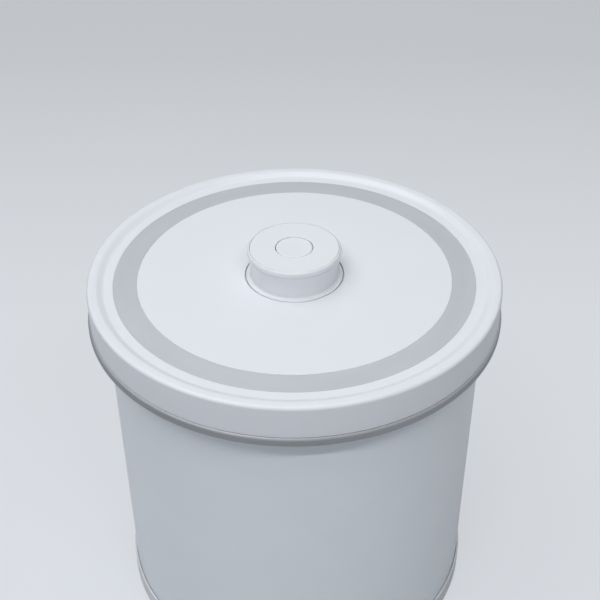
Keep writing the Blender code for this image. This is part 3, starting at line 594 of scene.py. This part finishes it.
def makeFeet():
    # a pad with a rounded edge and a dimple in its middle
    dimpleInside, dimpleOutside, dimpleDepth = foot["dimple"]
    outline = [
        (0, dimpleDepth),
        (dimpleInside, dimpleDepth, 0.6),
        (dimpleOutside, 0, 0.4),
        (foot["radius"], 0, 0.7),
        (foot["radius"], foot["top"], 0.3),
        (0, foot["top"]),
    ]
    pad = turnPiece("footPad", outline, look["padSides"], closed=False)
    names = [f"footPad{number + 1}" for number in range(len(foot["places"]))]
    for number, piece in enumerate(spreadCopies(pad, names, foot["places"])):
        dress(piece, [footRubber], "container", [f"foot_pad_{number + 1}"])


makeContainerShell()
makeRimCollar()
makeBaseRing()
makeFeet()
print("container made")


# the lid
cover = {
    "hole": 35.2,
    "recessInner": 111.1,
    "recessOuter": 127.75,
    "seat": -1.1,
    "ledge": 6.1,  # flat zone outside the trim ring
    "slope": 6.3,  # width of the soft step up to the rim
    "slopeSteps": 12,
    "hold": 1.5,  # the flat before the step, kept flat by a point of its own
    "rise": 2.9,
    "top": 145.9,
    "edge": 2.4,
    "skirt": 146.0,
    "skirtFoot": -21.05,
    "skirtInside": 143.7,
    "wall": 2.2,
    "snap": (-16.8, 1.2, 0.8),
    "bossPlaces": ringPlaces(4, 48.0, 0.5),
    "bossRadius": 3.3,
    "bossFoot": -8.35,
    "bossHoleTop": -5.2,
}


def makeLidCover():
    part = cover
    rise, wall, slope = part["rise"], part["wall"], part["slope"]
    ledgeEnd = part["recessOuter"] + part["ledge"]
    steps = part["slopeSteps"]
    snapTop, snapHeight, snapProud = part["snap"]
    inside, under = part["skirtInside"], part["seat"] - wall
    points = [
        (part["hole"], 0, 0.25),
        (part["recessInner"], 0, 0.15),
        (part["recessInner"], part["seat"]),
        (part["recessOuter"], part["seat"]),
        (part["recessOuter"], 0, 0.15),
        (ledgeEnd - part["hold"], 0),
    ]
    for step in range(steps + 1):
        share = step / steps
        points.append((ledgeEnd + slope * share, rise * (1 - math.cos(math.pi * share)) / 2))
    points += arcPoints((part["top"] - part["edge"], rise - part["edge"]), part["edge"], 90, 0, 8)
    points += [
        (part["skirt"], part["skirtFoot"], 0.25),
        (inside, part["skirtFoot"], 0.3),
        (inside, snapTop - snapHeight, 0.3),
        (inside - snapProud, snapTop, 0.15),
        (inside, snapTop, 0.1),
        (inside, rise - wall - wall, 0.8),
        (inside - wall, rise - wall, 0.8),
        (ledgeEnd + slope, rise - wall, 0.3),
        (ledgeEnd, -wall, 0.8),
        (part["recessOuter"] + wall, -wall, 0.8),
        (part["recessOuter"] + wall, under, 0.5),
        (part["recessInner"] - wall, under, 0.5),
        (part["recessInner"] - wall, -wall, 0.5),
        (part["hole"], -wall, 0.2),
    ]
    piece = turnPiece("lidCover", points, look["largeSides"], lidPlane)
    places, foot = part["bossPlaces"], part["bossFoot"]
    bosses = addRods(places, part["bossRadius"], foot, -wall + root, lidPlane)
    combine(piece, bosses, "UNION")
    holes = addRods(places, screw["hole"], foot - spare, part["bossHoleTop"], lidPlane)
    combine(piece, holes, "DIFFERENCE")
    dress(piece, [lidWhite], "lid", ["lid_cover"])


trim = {"gap": 0.05, "sheet": 0.8}


def makeLidTrimRing():
    outer, inner = cover["recessOuter"] - trim["gap"], cover["recessInner"] + trim["gap"]
    under = -trim["sheet"]
    points = [(outer, 0, 0.05), (outer, under, 0.1), (inner, under, 0.1), (inner, 0, 0.05)]
    piece = turnPiece("lidTrimRing", points, look["largeSides"], lidPlane)
    dress(piece, [trimSatin], "lid", ["lid_trim_ring"])


lidBase = {
    "top": -14.5,
    "under": -16.5,
    "outside": 143.3,
    "centring": (130.0, 132.0, -27.5),  # radii inside and outside, and its foot
    "lip": (140.7, 142.5, 2.2),  # round the gasket: radii, and its depth
    "hole": 40.4,
    "collar": (42.7, 44.3, 2.6),  # round the pump cylinder: radii, and its height
    "stand": (118.425, 120.425, -3.6),  # under the trim ring's recess: radii, and its top
}


def makeLidBase():
    part = lidBase
    top, under = part["top"], part["under"]
    lipInside, lipOutside, lipDepth = part["lip"]
    centringInside, centringOutside, centringFoot = part["centring"]
    collarInside, collarOutside, collarHeight = part["collar"]
    standInside, standOutside, standTop = part["stand"]
    points = [
        (part["outside"], top, 0.4),
        (part["outside"], under, 0.4),
        (lipOutside, under, 0.1),
        (lipOutside, under - lipDepth, 0.3),
        (lipInside, under - lipDepth, 0.3),
        (lipInside, under, 0.2),
        (centringOutside, under, 0.6),
        (centringOutside, centringFoot, 0.7),
        (centringInside, centringFoot, 0.7),
        (centringInside, under, 0.8),
        (part["hole"], under, 0.4),
        (part["hole"], top, 0.3),
        (collarInside, top, 0.2),
        (collarInside, top + collarHeight, 0.3),
        (collarOutside, top + collarHeight, 0.3),
        (collarOutside, top, 0.4),
        (standInside, top, 0.5),
        (standInside, standTop, 0.3),
        (standOutside, standTop, 0.3),
        (standOutside, top, 0.5),
    ]
    piece = turnPiece("lidBase", points, look["largeSides"], lidPlane)
    dress(piece, [innerWhite], "lid", ["lid_base"])


gasket = {
    "inside": 134.4,
    "outside": 140.4,
    "side": 3.2,
    "beads": (135.7, 139.1, 4.0),  # the radius of each, and how far down both reach
    "valley": (137.4, 2.8),
    "gap": 0.3,
}


def makeLidGasket():
    # two soft beads with a valley between them press on the steel flange
    part = gasket
    top = lidBase["under"] - part["gap"]
    inner, outer, depth = part["beads"]
    middle, dip = part["valley"]
    points = [
        (part["outside"], top, 0.3),
        (part["outside"], top - part["side"], 0.8),
        (outer, top - depth, 0.8),
        (middle, top - dip, 0.9),
        (inner, top - depth, 0.8),
        (part["inside"], top - part["side"], 0.8),
        (part["inside"], top, 0.3),
    ]
    piece = turnPiece("lidGasket", points, look["largeSides"], lidPlane)
    dress(piece, [siliconeMilk], "lid", ["lid_gasket"])


cylinder = {
    "outside": 40.1,
    "bore": 38.1,
    "top": -2.5,
    "earTop": -8.65,
    "earUnder": -10.65,
    "screwSeat": -10.95,
    "ear": 51.6,
    "floor": -32.5,
    "foot": -34.7,
    "stem": 2.0,
    "dish": (10.4, 11.0, 0.5),  # in the underside, round the ports
    "guide": (11.5, 12.7, 2.0),  # round the spring: radii, and its height
    "ports": (5, 6.076, 1.2),  # how many, on which radius, and how wide
}
screw = {
    "shank": 1.2,
    "core": 0.96,
    "head": 2.5,
    "headHeight": 1.4,
    "bite": 5.0,
    "tip": 1.0,
    "turns": 8,
    "threaded": 3.6,
    "hole": 1.5,
    "cross": (2.6, 0.55, 1.6),  # length, width and depth of the cutter for the cross recess
}


def makePumpCylinder():
    part = cylinder
    floor, foot = part["floor"], part["foot"]
    dishInside, dishOutside, dishDepth = part["dish"]
    guideInside, guideOutside, guideHeight = part["guide"]
    points = [
        (part["outside"], part["top"], 0.3),
        (part["outside"], part["earTop"], 0.4),
        (part["ear"], part["earTop"], 0.4),
        (part["ear"], part["earUnder"], 0.4),
        (part["outside"], part["earUnder"], 0.4),
        (part["outside"], foot, 1.8),
        (dishOutside, foot, 0.3),
        (dishInside, foot + dishDepth, 0.3),
        (part["stem"], foot + dishDepth, 0.15),
        (part["stem"], floor, 0.15),
        (guideInside, floor, 0.2),
        (guideInside, floor + guideHeight, 0.3),
        (guideOutside, floor + guideHeight, 0.3),
        (guideOutside, floor, 0.3),
        (part["bore"], floor, 0.8),
        (part["bore"], part["top"], 0.4),
    ]
    piece = turnPiece("pumpCylinder", points, look["knobSides"], lidPlane)
    count, place, radius = part["ports"]
    ports = addRods(ringPlaces(count, place), radius, foot - spare, floor + spare, lidPlane)
    combine(piece, ports, "DIFFERENCE")
    low, high = part["earUnder"] - spare, part["earTop"] + spare
    combine(piece, addRods(cover["bossPlaces"], screw["hole"], low, high, lidPlane), "DIFFERENCE")
    dress(piece, [innerWhite], "lid", ["pump_cylinder"])


cylinderSeal = {"radius": 41.4, "section": 1.0, "height": -13.2}
sealSteps = 14


def makeRingSeal(name, part, sides, body, node, finish):
    middle = (part["radius"], part["height"])
    points = arcPoints(middle, part["section"], 90, -270, sealSteps)[:-1]
    piece = turnPiece(name, points, sides, lidPlane)
    dress(piece, [finish], body, [node])


valve = {
    "gap": 0.3,
    "radius": 9.8,
    "dome": [(0, 1.9), (3.6, 1.75, 3), (7.2, 1.1, 3), (9.8, 0.5, 0.2)],  # over the seat
    "stem": 1.7,
    "bulb": [(2.9, 0, 0.3), (2.6, -1.4, 0.8), (1.7, -3.2, 0.6), (0, -3.2)],  # under the floor
}


def makeInletValve():
    # a thin domed cap on a stem with a bulb that was pulled through the floor
    seat, foot = cylinder["floor"] + valve["gap"], cylinder["foot"] - valve["gap"]
    points = [(radius, seat + height, *rounding) for radius, height, *rounding in valve["dome"]]
    points += [(valve["radius"], seat, 0.15), (valve["stem"], seat, 0.2), (valve["stem"], foot, 0.2)]
    points += [(radius, foot + height, *rounding) for radius, height, *rounding in valve["bulb"]]
    piece = turnPiece("inletValve", points, look["padSides"], lidPlane, closed=False)
    dress(piece, [siliconeMilk], "lid", ["inlet_valve"])


def makeScrew(name, seat):
    # pan head with a cross recess, and a shank with its thread as fine rings
    shank, core, head = screw["shank"], screw["core"], screw["head"]
    foot, end = seat - screw["headHeight"], seat + screw["bite"]
    cone = end - screw["tip"]
    points = [(0, end), (0.35, end, 0.1), (core, cone)]
    pitch = screw["threaded"] / screw["turns"]
    for number in range(screw["turns"]):
        top = cone - number * pitch
        points += [(shank, top - pitch * 0.35), (core, top - pitch * 0.9)]
    points += [
        (core, seat, 0.1),
        (head, seat, 0.15),
        (head, foot + 0.7, 0.6),
        (head - 0.9, foot, 0.5),
        (0, foot),
    ]
    piece = turnPiece(name, points, look["smallSides"], lidPlane, closed=False)
    for turnBy in (0, math.pi / 2):
        bpy.ops.object.select_all(action="DESELECT")
        bpy.ops.mesh.primitive_cube_add(
            size=1,
            location=(0, 0, (lidPlane + foot) * mm),
            rotation=(0, 0, turnBy),
            scale=[side * mm for side in screw["cross"]],
        )
        combine(piece, bpy.context.object, "DIFFERENCE")
    return piece


def makeScrews(name, node, seat, places, body):
    made = spreadCopies(makeScrew(name, seat), [f"{name}{at + 1}" for at in range(len(places))], places)
    for number, piece in enumerate(made):
        dress(piece, [screwSteel], body, [f"{node}_{number + 1}"])


winding = {
    "pointsATurn": 32,
    "closeTurns": 0.9,  # at either end, that lie nearly flat
    "closeRise": 2.1,  # what these climb, in radii of the wire
    "ease": 1.5,
}
pumpSpring = {"radius": 14.2, "wire": 0.65, "bottom": -32.2, "top": -5.4, "turns": 5.5, "keep": 0.26}


def makeSpring(name, part, body, node):
    # round wire, wound closer in its first and last turn, with ends that lie flat
    radius, wire, bottom = part["radius"], part["wire"], part["bottom"]
    turns, keep, ease = part["turns"], part["keep"], winding["ease"]
    count = round(turns * winding["pointsATurn"])
    low, high = bottom + wire, part["top"] - wire
    data = bpy.data.curves.new(name, "CURVE")
    data.dimensions = "3D"
    data.bevel_depth = wire * mm
    data.bevel_resolution = 3
    data.use_fill_caps = True
    spline = data.splines.new("POLY")
    spline.points.add(count)
    closeShare = winding["closeTurns"] / turns
    closeRise = winding["closeRise"] * wire
    for number in range(count + 1):
        share = number / count
        if share < closeShare:
            height = low + closeRise * (share / closeShare) ** ease
        elif share > 1 - closeShare:
            height = high - closeRise * ((1 - share) / closeShare) ** ease
        else:
            along = (share - closeShare) / (1 - 2 * closeShare)
            height = low + closeRise + (high - low - 2 * closeRise) * along
        angle = math.tau * turns * share
        across, along = radius * mm * math.cos(angle), radius * mm * math.sin(angle)
        spline.points[number].co = (across, along, (lidPlane + height) * mm, 1)
    wound = bpy.data.objects.new(name, data)
    bpy.context.scene.collection.objects.link(wound)
    bpy.ops.object.select_all(action="DESELECT")
    wound.select_set(True)
    bpy.context.view_layer.objects.active = wound
    bpy.ops.object.convert(target="MESH")
    piece = bpy.context.object
    dress(piece, [springSteel], body, [node], look["wireSmooth"])
    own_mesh(piece)


makeLidCover()
makeLidTrimRing()
makeLidBase()
makeLidGasket()
makePumpCylinder()
makeRingSeal(
    "cylinderSeal", cylinderSeal, look["knobSides"], "lid", "cylinder_seal", siliconeMilk
)
makeInletValve()
makeScrews("cylinderScrew", "cylinder_screw", cylinder["screwSeat"], cover["bossPlaces"], "lid")
makeSpring("pumpSpring", pumpSpring, "lid", "pump_spring")
print("lid made")


# the knob
knob = {
    "top": 22.0,
    "cap": 33.1,
    "crown": (1.35, 2.7),  # how far the cap's edge rounds, across and down
    "capDepth": 3.6,
    "insert": 31.2,
    "insertGap": 0.3,
    "neck": 32.2,
    "neckDepth": 4.8,
    "waist": 31.2,
    "bend": (0.25, 9.5, 18),  # where the waist's wall turns: out, up and its rounding
    "fillet": 1.5,
    "flange": 34.3,
    "foot": -2.2,
    "inside": 29.0,
    "well": 13.3,
    "wellFloor": 8.0,
    "wellWall": 1.8,
    "bore": 2.7,  # for the rod
    "deck": 19.7,
    "sheet": 2,
    "postPlaces": ringPlaces(3, 22.745),
    "postRadius": 3.0,
    "postHoleTop": 0.1,
}


def makeKnobBody():
    part = knob
    top, cap, waist = part["top"], part["cap"], part["waist"]
    rim = part["insert"] + part["insertGap"]
    across, down = part["crown"]
    bendOut, bendHeight, bendRounding = part["bend"]
    fillet, foot, ceiling = part["fillet"], part["foot"], part["deck"] - part["sheet"]
    well, wellOutside = part["well"], part["well"] + part["wellWall"]
    wellFloor, wellUnder = part["wellFloor"], part["wellFloor"] - part["wellWall"]
    points = [(rim, top, 0.15)]
    for corner in arcPoints((0, 0), 1, 90, 0, 8):
        points.append((cap - across + across * corner[0], top - down + down * corner[1]))
    points += [
        (cap, top - part["capDepth"], 0.9),
        (part["neck"], top - part["neckDepth"], 0.9),
        (waist + bendOut, bendHeight, bendRounding),
    ]
    points += arcPoints((waist + fillet, fillet), fillet, 180, 270, 6)
    points += [
        (part["flange"], 0, 0.35),
        (part["flange"], foot, 0.2),
        (part["inside"], foot, 0.3),
        (part["inside"], ceiling, 0.6),
        (wellOutside, ceiling, 0.5),
        (wellOutside, wellUnder, 0.5),
        (part["bore"], wellUnder, 0.15),
        (part["bore"], wellFloor, 0.2),
        (well, wellFloor, 0.5),
        (well, part["deck"], 0.2),
        (rim, part["deck"], 0.2),
    ]
    piece = turnPiece("knobBody", points, look["knobSides"], lidPlane)
    posts = addRods(part["postPlaces"], part["postRadius"], foot, ceiling + root, lidPlane)
    combine(piece, posts, "UNION")
    holes = addRods(part["postPlaces"], screw["hole"], foot - spare, part["postHoleTop"], lidPlane)
    combine(piece, holes, "DIFFERENCE")
    dress(piece, [knobWhite], "knob", ["knob_body"])


def makeKnobTop():
    part = knob
    under = part["top"] - part["sheet"]
    points = [
        (part["insert"], part["top"], 0.2),
        (part["insert"], under, 0.15),
        (part["well"], under, 0.15),
        (part["well"], part["top"], 0.35),
    ]
    piece = turnPiece("knobTop", points, look["knobSides"], lidPlane)
    dress(piece, [knobWhite], "knob", ["knob_top"])


piston = {
    "radius": 37.6,
    "top": -2.5,
    "ceiling": -5.1,
    "foot": -11.3,
    "groove": (-5.0, -8.8, 34.8),  # heights of its top and foot, and its radius
    "wall": 1.9,
    "hub": 4.9,
    "hubFoot": -9.5,
    "bore": 2.7,
    "screwSeat": -5.4,
}


def makePiston():
    part = piston
    grooveTop, grooveFoot, grooveInside = part["groove"]
    points = [
        (part["radius"], part["top"], 0.3),
        (part["radius"], grooveTop, 0.2),
        (grooveInside, grooveTop, 0.2),
        (grooveInside, grooveFoot, 0.2),
        (part["radius"], grooveFoot, 0.2),
        (part["radius"], part["foot"], 0.3),
        (grooveInside - part["wall"], part["foot"], 0.3),
        (grooveInside - part["wall"], part["ceiling"], 0.6),
        (part["hub"], part["ceiling"], 0.5),
        (part["hub"], part["hubFoot"], 0.4),
        (part["bore"], part["hubFoot"], 0.2),
        (part["bore"], part["top"], 0.2),
    ]
    piece = turnPiece("piston", points, look["knobSides"], lidPlane)
    low, high = part["ceiling"] - spare, part["top"] + spare
    combine(piece, addRods(knob["postPlaces"], screw["hole"], low, high, lidPlane), "DIFFERENCE")
    dress(piece, [innerWhite], "knob", ["piston"])


pistonSeal = {
    "top": -5.3,
    "foot": -8.5,
    "heel": (35.1, 36.0),  # radii of the wall that sits in the groove
    "valley": (36.45, -7.6),
    "lip": (36.9, 37.8),  # radii of the lip's edge
    "base": 37.5,
}


def makePistonSeal():
    # a lip seal: a heel in the groove and a lip that leans up and out
    top, foot = pistonSeal["top"], pistonSeal["foot"]
    heelInside, heelOutside = pistonSeal["heel"]
    lipInside, lipOutside = pistonSeal["lip"]
    points = [
        (heelOutside, top, 0.3),
        (*pistonSeal["valley"], 0.5),
        (lipInside, top, 0.2),
        (lipOutside, top, 0.2),
        (pistonSeal["base"], foot, 0.3),
        (heelInside, foot, 0.3),
        (heelInside, top, 0.3),
    ]
    piece = turnPiece("pistonSeal", points, look["knobSides"], lidPlane)
    dress(piece, [sealRubber], "knob", ["piston_seal"])


buttonSpring = {"radius": 8.5, "wire": 0.4, "bottom": 8.3, "top": 19.9, "turns": 6.5, "keep": 0.754}

makeKnobBody()
makeKnobTop()
makePiston()
makePistonSeal()
makeScrews("pistonScrew", "piston_screw", piston["screwSeat"], knob["postPlaces"], "knob")
makeSpring("buttonSpring", buttonSpring, "knob", "button_spring")
print("knob made")


# the release button with its rod
button = {
    "radius": 12.8,
    "top": 22.0,
    "foot": 17.0,
    "wall": 1.4,
    "dish": 0.4,
    "crest": 0.9,  # how far inside the edge the button is highest
    "edgeDrop": 0.2,
    "socket": 2.7,
    "socketWall": 1.6,
    "socketFoot": 14.7,
}


def makeButton():
    part = button
    top, radius = part["top"], part["radius"]
    ceiling = top - part["dish"] - part["wall"]
    socketOutside = part["socket"] + part["socketWall"]
    points = [
        (0, top - part["dish"]),
        (radius * 0.5, top - part["dish"] * 0.8, 14),
        (radius - part["crest"], top, 1.2),
        (radius, top - part["edgeDrop"], 0.4),
        (radius, part["foot"], 0.2),
        (radius - part["wall"], part["foot"], 0.2),
        (radius - part["wall"], ceiling, 0.4),
        (socketOutside, ceiling, 0.3),
        (socketOutside, part["socketFoot"], 0.3),
        (part["socket"], part["socketFoot"], 0.2),
        (part["socket"], ceiling, 0.1),
        (0, ceiling),
    ]
    piece = turnPiece("releaseButton", points, look["buttonSides"], lidPlane, closed=False)
    dress(piece, [knobWhite], "release_button", ["button"])


rod = {
    "radius": 2.4,
    "head": 19.9,
    "tip": -7.0,
    "tipEdge": 0.7,
    "clipTop": 5.9,
    "clipUnder": 5.1,
    "clipGap": 0.3,
    "clipDepth": 0.65,
    "sealAt": -3.3,
    "sealReach": 0.8,  # of its groove, up and down
    "sealDepth": 1.3,
}


def makeReleaseRod():
    part = rod
    radius, sealAt, reach, edge = part["radius"], part["sealAt"], part["sealReach"], part["tipEdge"]
    clipTop, clipUnder = part["clipTop"] + part["clipGap"], part["clipUnder"] - part["clipGap"]
    clipInside, sealInside = radius - part["clipDepth"], radius - part["sealDepth"]
    points = [
        (0, part["head"]),
        (radius, part["head"], 0.3),
        (radius, clipTop, 0.1),
        (clipInside, clipTop, 0.1),
        (clipInside, clipUnder, 0.1),
        (radius, clipUnder, 0.1),
        (radius, sealAt + reach, 0.1),
        (sealInside, sealAt + reach, 0.15),
        (sealInside, sealAt - reach, 0.15),
        (radius, sealAt - reach, 0.1),
        (radius, part["tip"] + edge, 0.2),
        (radius - edge, part["tip"], 0.3),
        (0, part["tip"]),
    ]
    piece = turnPiece("releaseRod", points, look["smallSides"], lidPlane, closed=False)
    dress(piece, [springSteel], "release_button", ["release_rod"])


clip = {"inside": 2.05, "outside": 4.8, "opening": 2.6, "cutter": 2, "edge": 0.15}
rodSeal = {"radius": 1.9, "section": 0.5, "height": rod["sealAt"]}


def makeRodClip():
    # a flat ring, open at one side
    inside, outside, edge = clip["inside"], clip["outside"], clip["edge"]
    top, under = rod["clipTop"], rod["clipUnder"]
    points = [(outside, top, edge), (outside, under, edge), (inside, under, edge), (inside, top, edge)]
    piece = turnPiece("rodClip", points, look["padSides"], lidPlane)
    bpy.ops.object.select_all(action="DESELECT")
    bpy.ops.mesh.primitive_cube_add(
        size=1,
        location=(outside * mm, 0, (lidPlane + (top + under) / 2) * mm),
        scale=(2 * outside * mm, clip["opening"] * mm, clip["cutter"] * mm),
    )
    combine(piece, bpy.context.object, "DIFFERENCE")
    dress(piece, [springSteel], "release_button", ["rod_clip"])


makeButton()
makeReleaseRod()
makeRodClip()
makeRingSeal(
    "rodSeal", rodSeal, look["padSides"], "release_button", "rod_seal", sealRubber
)
print("release button made")


# floor, world and lamps
studio = {
    "floorRadius": 30.0,
    "floorSides": 128,
    "floorFade": (1.6, 6.0),  # from here to here the floor fades into the world
    "floorColor": (0.605, 0.63, 0.67),
    "floorDrift": 0.985,  # how dark the paper's waves get
    "floorRough": 0.9,
    "floorGloss": 0.1,
    "backShadeShare": 0.8,  # of the colour, that is left at the back, as painted shade
    "farReach": (0.3, 1.0),
    "seenColor": (0.86, 0.89, 0.93),  # the floor and the world as the camera and the steel see them
    "seenShare": 0.58,
    "paintedReflectionShare": (0.26, 0.13),  # of that, what steel sees on the left and on the right, a painted reflection that is brighter on the left
    "steelReach": 0.8,
    "worldColor": (0.93, 0.96, 1.0),
    "worldLevel": (0.30, 0.15),  # the light it gives from the left and from the right
    "lamps": [
        # name, place, width and depth, watts, whether gloss and steel show it
        ("softTop", (-0.45, -0.05, 2.0), (1.8, 1.8), 17.6, True),
        ("barFront", (0.13, -1.2, 1.97), (2.0, 0.1), 16.5, False),
    ],
}


def seenByCamera(tree, at, direct, steel):
    # one share for rays from the camera, and another for those that steel and gloss throw
    rays = addNode(tree, "ShaderNodeLightPath", at)
    straight = mathNode(tree, "MULTIPLY", (at[0] + 1, at[1]), rays.outputs["Is Camera Ray"], direct)
    thrown = mathNode(tree, "MULTIPLY", (at[0] + 1, at[1] + 1), rays.outputs["Is Glossy Ray"], steel)
    passed = mathNode(tree, "MULTIPLY", (at[0] + 1, at[1] + 2), rays.outputs["Is Transmission Ray"], steel)
    seen = mathNode(tree, "MAXIMUM", (at[0] + 2, at[1]), straight, thrown)
    return mathNode(tree, "MAXIMUM", (at[0] + 3, at[1]), seen, passed)


def makeFloor():
    bpy.ops.object.select_all(action="DESELECT")
    bpy.ops.mesh.primitive_circle_add(
        vertices=studio["floorSides"], radius=studio["floorRadius"], fill_type="NGON"
    )
    floor = bpy.context.object
    floor.name = "studioFloor"
    values = {"Grain Scale": 300.0, "Wave Scale": 1.5}
    finish, tree, shader, skin = startFinish("studioPaper", mouldSkin, values)
    low = studio["floorColor"]
    high = tuple(value * studio["floorDrift"] for value in low)
    tree.links.new(mixColor(tree, (4, 0), skin.outputs["Wave"], low, high), shader.inputs["Base Color"])
    shader.inputs["Roughness"].default_value = studio["floorRough"]
    shader.inputs["Specular IOR Level"].default_value = studio["floorGloss"]
    # the paper's glow is painted a little darker towards the back, a painted falloff of light, and far off
    # it fades into the world
    glow = addNode(tree, "ShaderNodeEmission", (8, 2))
    split = addNode(tree, "ShaderNodeSeparateXYZ", (4, 6))
    tree.links.new(tree.nodes["Texture Coordinate"].outputs["Object"], split.inputs[0])
    away = rangeNode(tree, (5, 6), split.outputs["Y"], *studio["farReach"])
    near = studio["seenColor"]
    far = tuple(value * studio["backShadeShare"] for value in near)
    reach = addNode(tree, "ShaderNodeVectorMath", (4, 7), operation="LENGTH")
    tree.links.new(tree.nodes["Texture Coordinate"].outputs["Object"], reach.inputs[0])
    fade = rangeNode(tree, (5, 7), reach.outputs["Value"], *studio["floorFade"])
    paper = mixColor(tree, (7, 6), fade, near, near)
    tree.links.new(mixColor(tree, (6, 6), away, near, far), paper.node.inputs[6])
    tree.links.new(paper, glow.inputs["Color"])
    share = rangeNode(tree, (5, 8), reach.outputs["Value"], *studio["floorFade"], studio["seenShare"], 1.0)
    both = addNode(tree, "ShaderNodeMixShader", (12, 1))
    # steel and gloss see the paper's glow brighter on the left than on the right, as a painted reflection
    sideways = studio["steelReach"]
    steel = rangeNode(tree, (5, 9), split.outputs["X"], -sideways, sideways, *studio["paintedReflectionShare"])
    tree.links.new(seenByCamera(tree, (7, 8), share, steel), both.inputs["Fac"])
    tree.links.new(shader.outputs["BSDF"], both.inputs[1])
    tree.links.new(glow.outputs["Emission"], both.inputs[2])
    tree.links.new(both.outputs["Shader"], tree.nodes["Material Output"].inputs["Surface"])
    floor.data.materials.append(finish)


def makeWorld():
    world = bpy.data.worlds.new("studioWorld")
    world.use_nodes = True
    tree = world.node_tree
    light = tree.nodes["Background"]
    light.inputs["Color"].default_value = (*studio["worldColor"], 1)
    toward = addNode(tree, "ShaderNodeTexCoord", (-4, 0))
    split = addNode(tree, "ShaderNodeSeparateXYZ", (-3, 0))
    tree.links.new(toward.outputs["Generated"], split.inputs[0])
    level = rangeNode(tree, (-2, 0), split.outputs["X"], -1, 1, *studio["worldLevel"])
    tree.links.new(level, light.inputs["Strength"])
    seen = addNode(tree, "ShaderNodeBackground", (4, 2))
    seen.inputs["Color"].default_value = (*studio["seenColor"], 1)
    both = addNode(tree, "ShaderNodeMixShader", (6, 1))
    tree.links.new(seenByCamera(tree, (1, 3), 1.0, 1.0), both.inputs["Fac"])
    tree.links.new(light.outputs["Background"], both.inputs[1])
    tree.links.new(seen.outputs["Background"], both.inputs[2])
    tree.links.new(both.outputs["Shader"], tree.nodes["World Output"].inputs["Surface"])
    bpy.context.scene.world = world


def makeLamps():
    aim = Vector((0, 0, lidPlane * mm))
    for name, place, (width, depth), watts, shown in studio["lamps"]:
        bpy.ops.object.light_add(type="AREA", location=place)
        lamp = bpy.context.object
        lamp.name = name
        lamp.data.shape = "RECTANGLE"
        lamp.data.size = width
        lamp.data.size_y = depth
        lamp.data.energy = watts
        lamp.visible_glossy = shown
        lamp.rotation_euler = (aim - Vector(place)).to_track_quat("-Z", "Y").to_euler()


makeFloor()
makeWorld()
makeLamps()
bpy.context.scene.view_settings.view_transform = "Standard"
print("studio made")
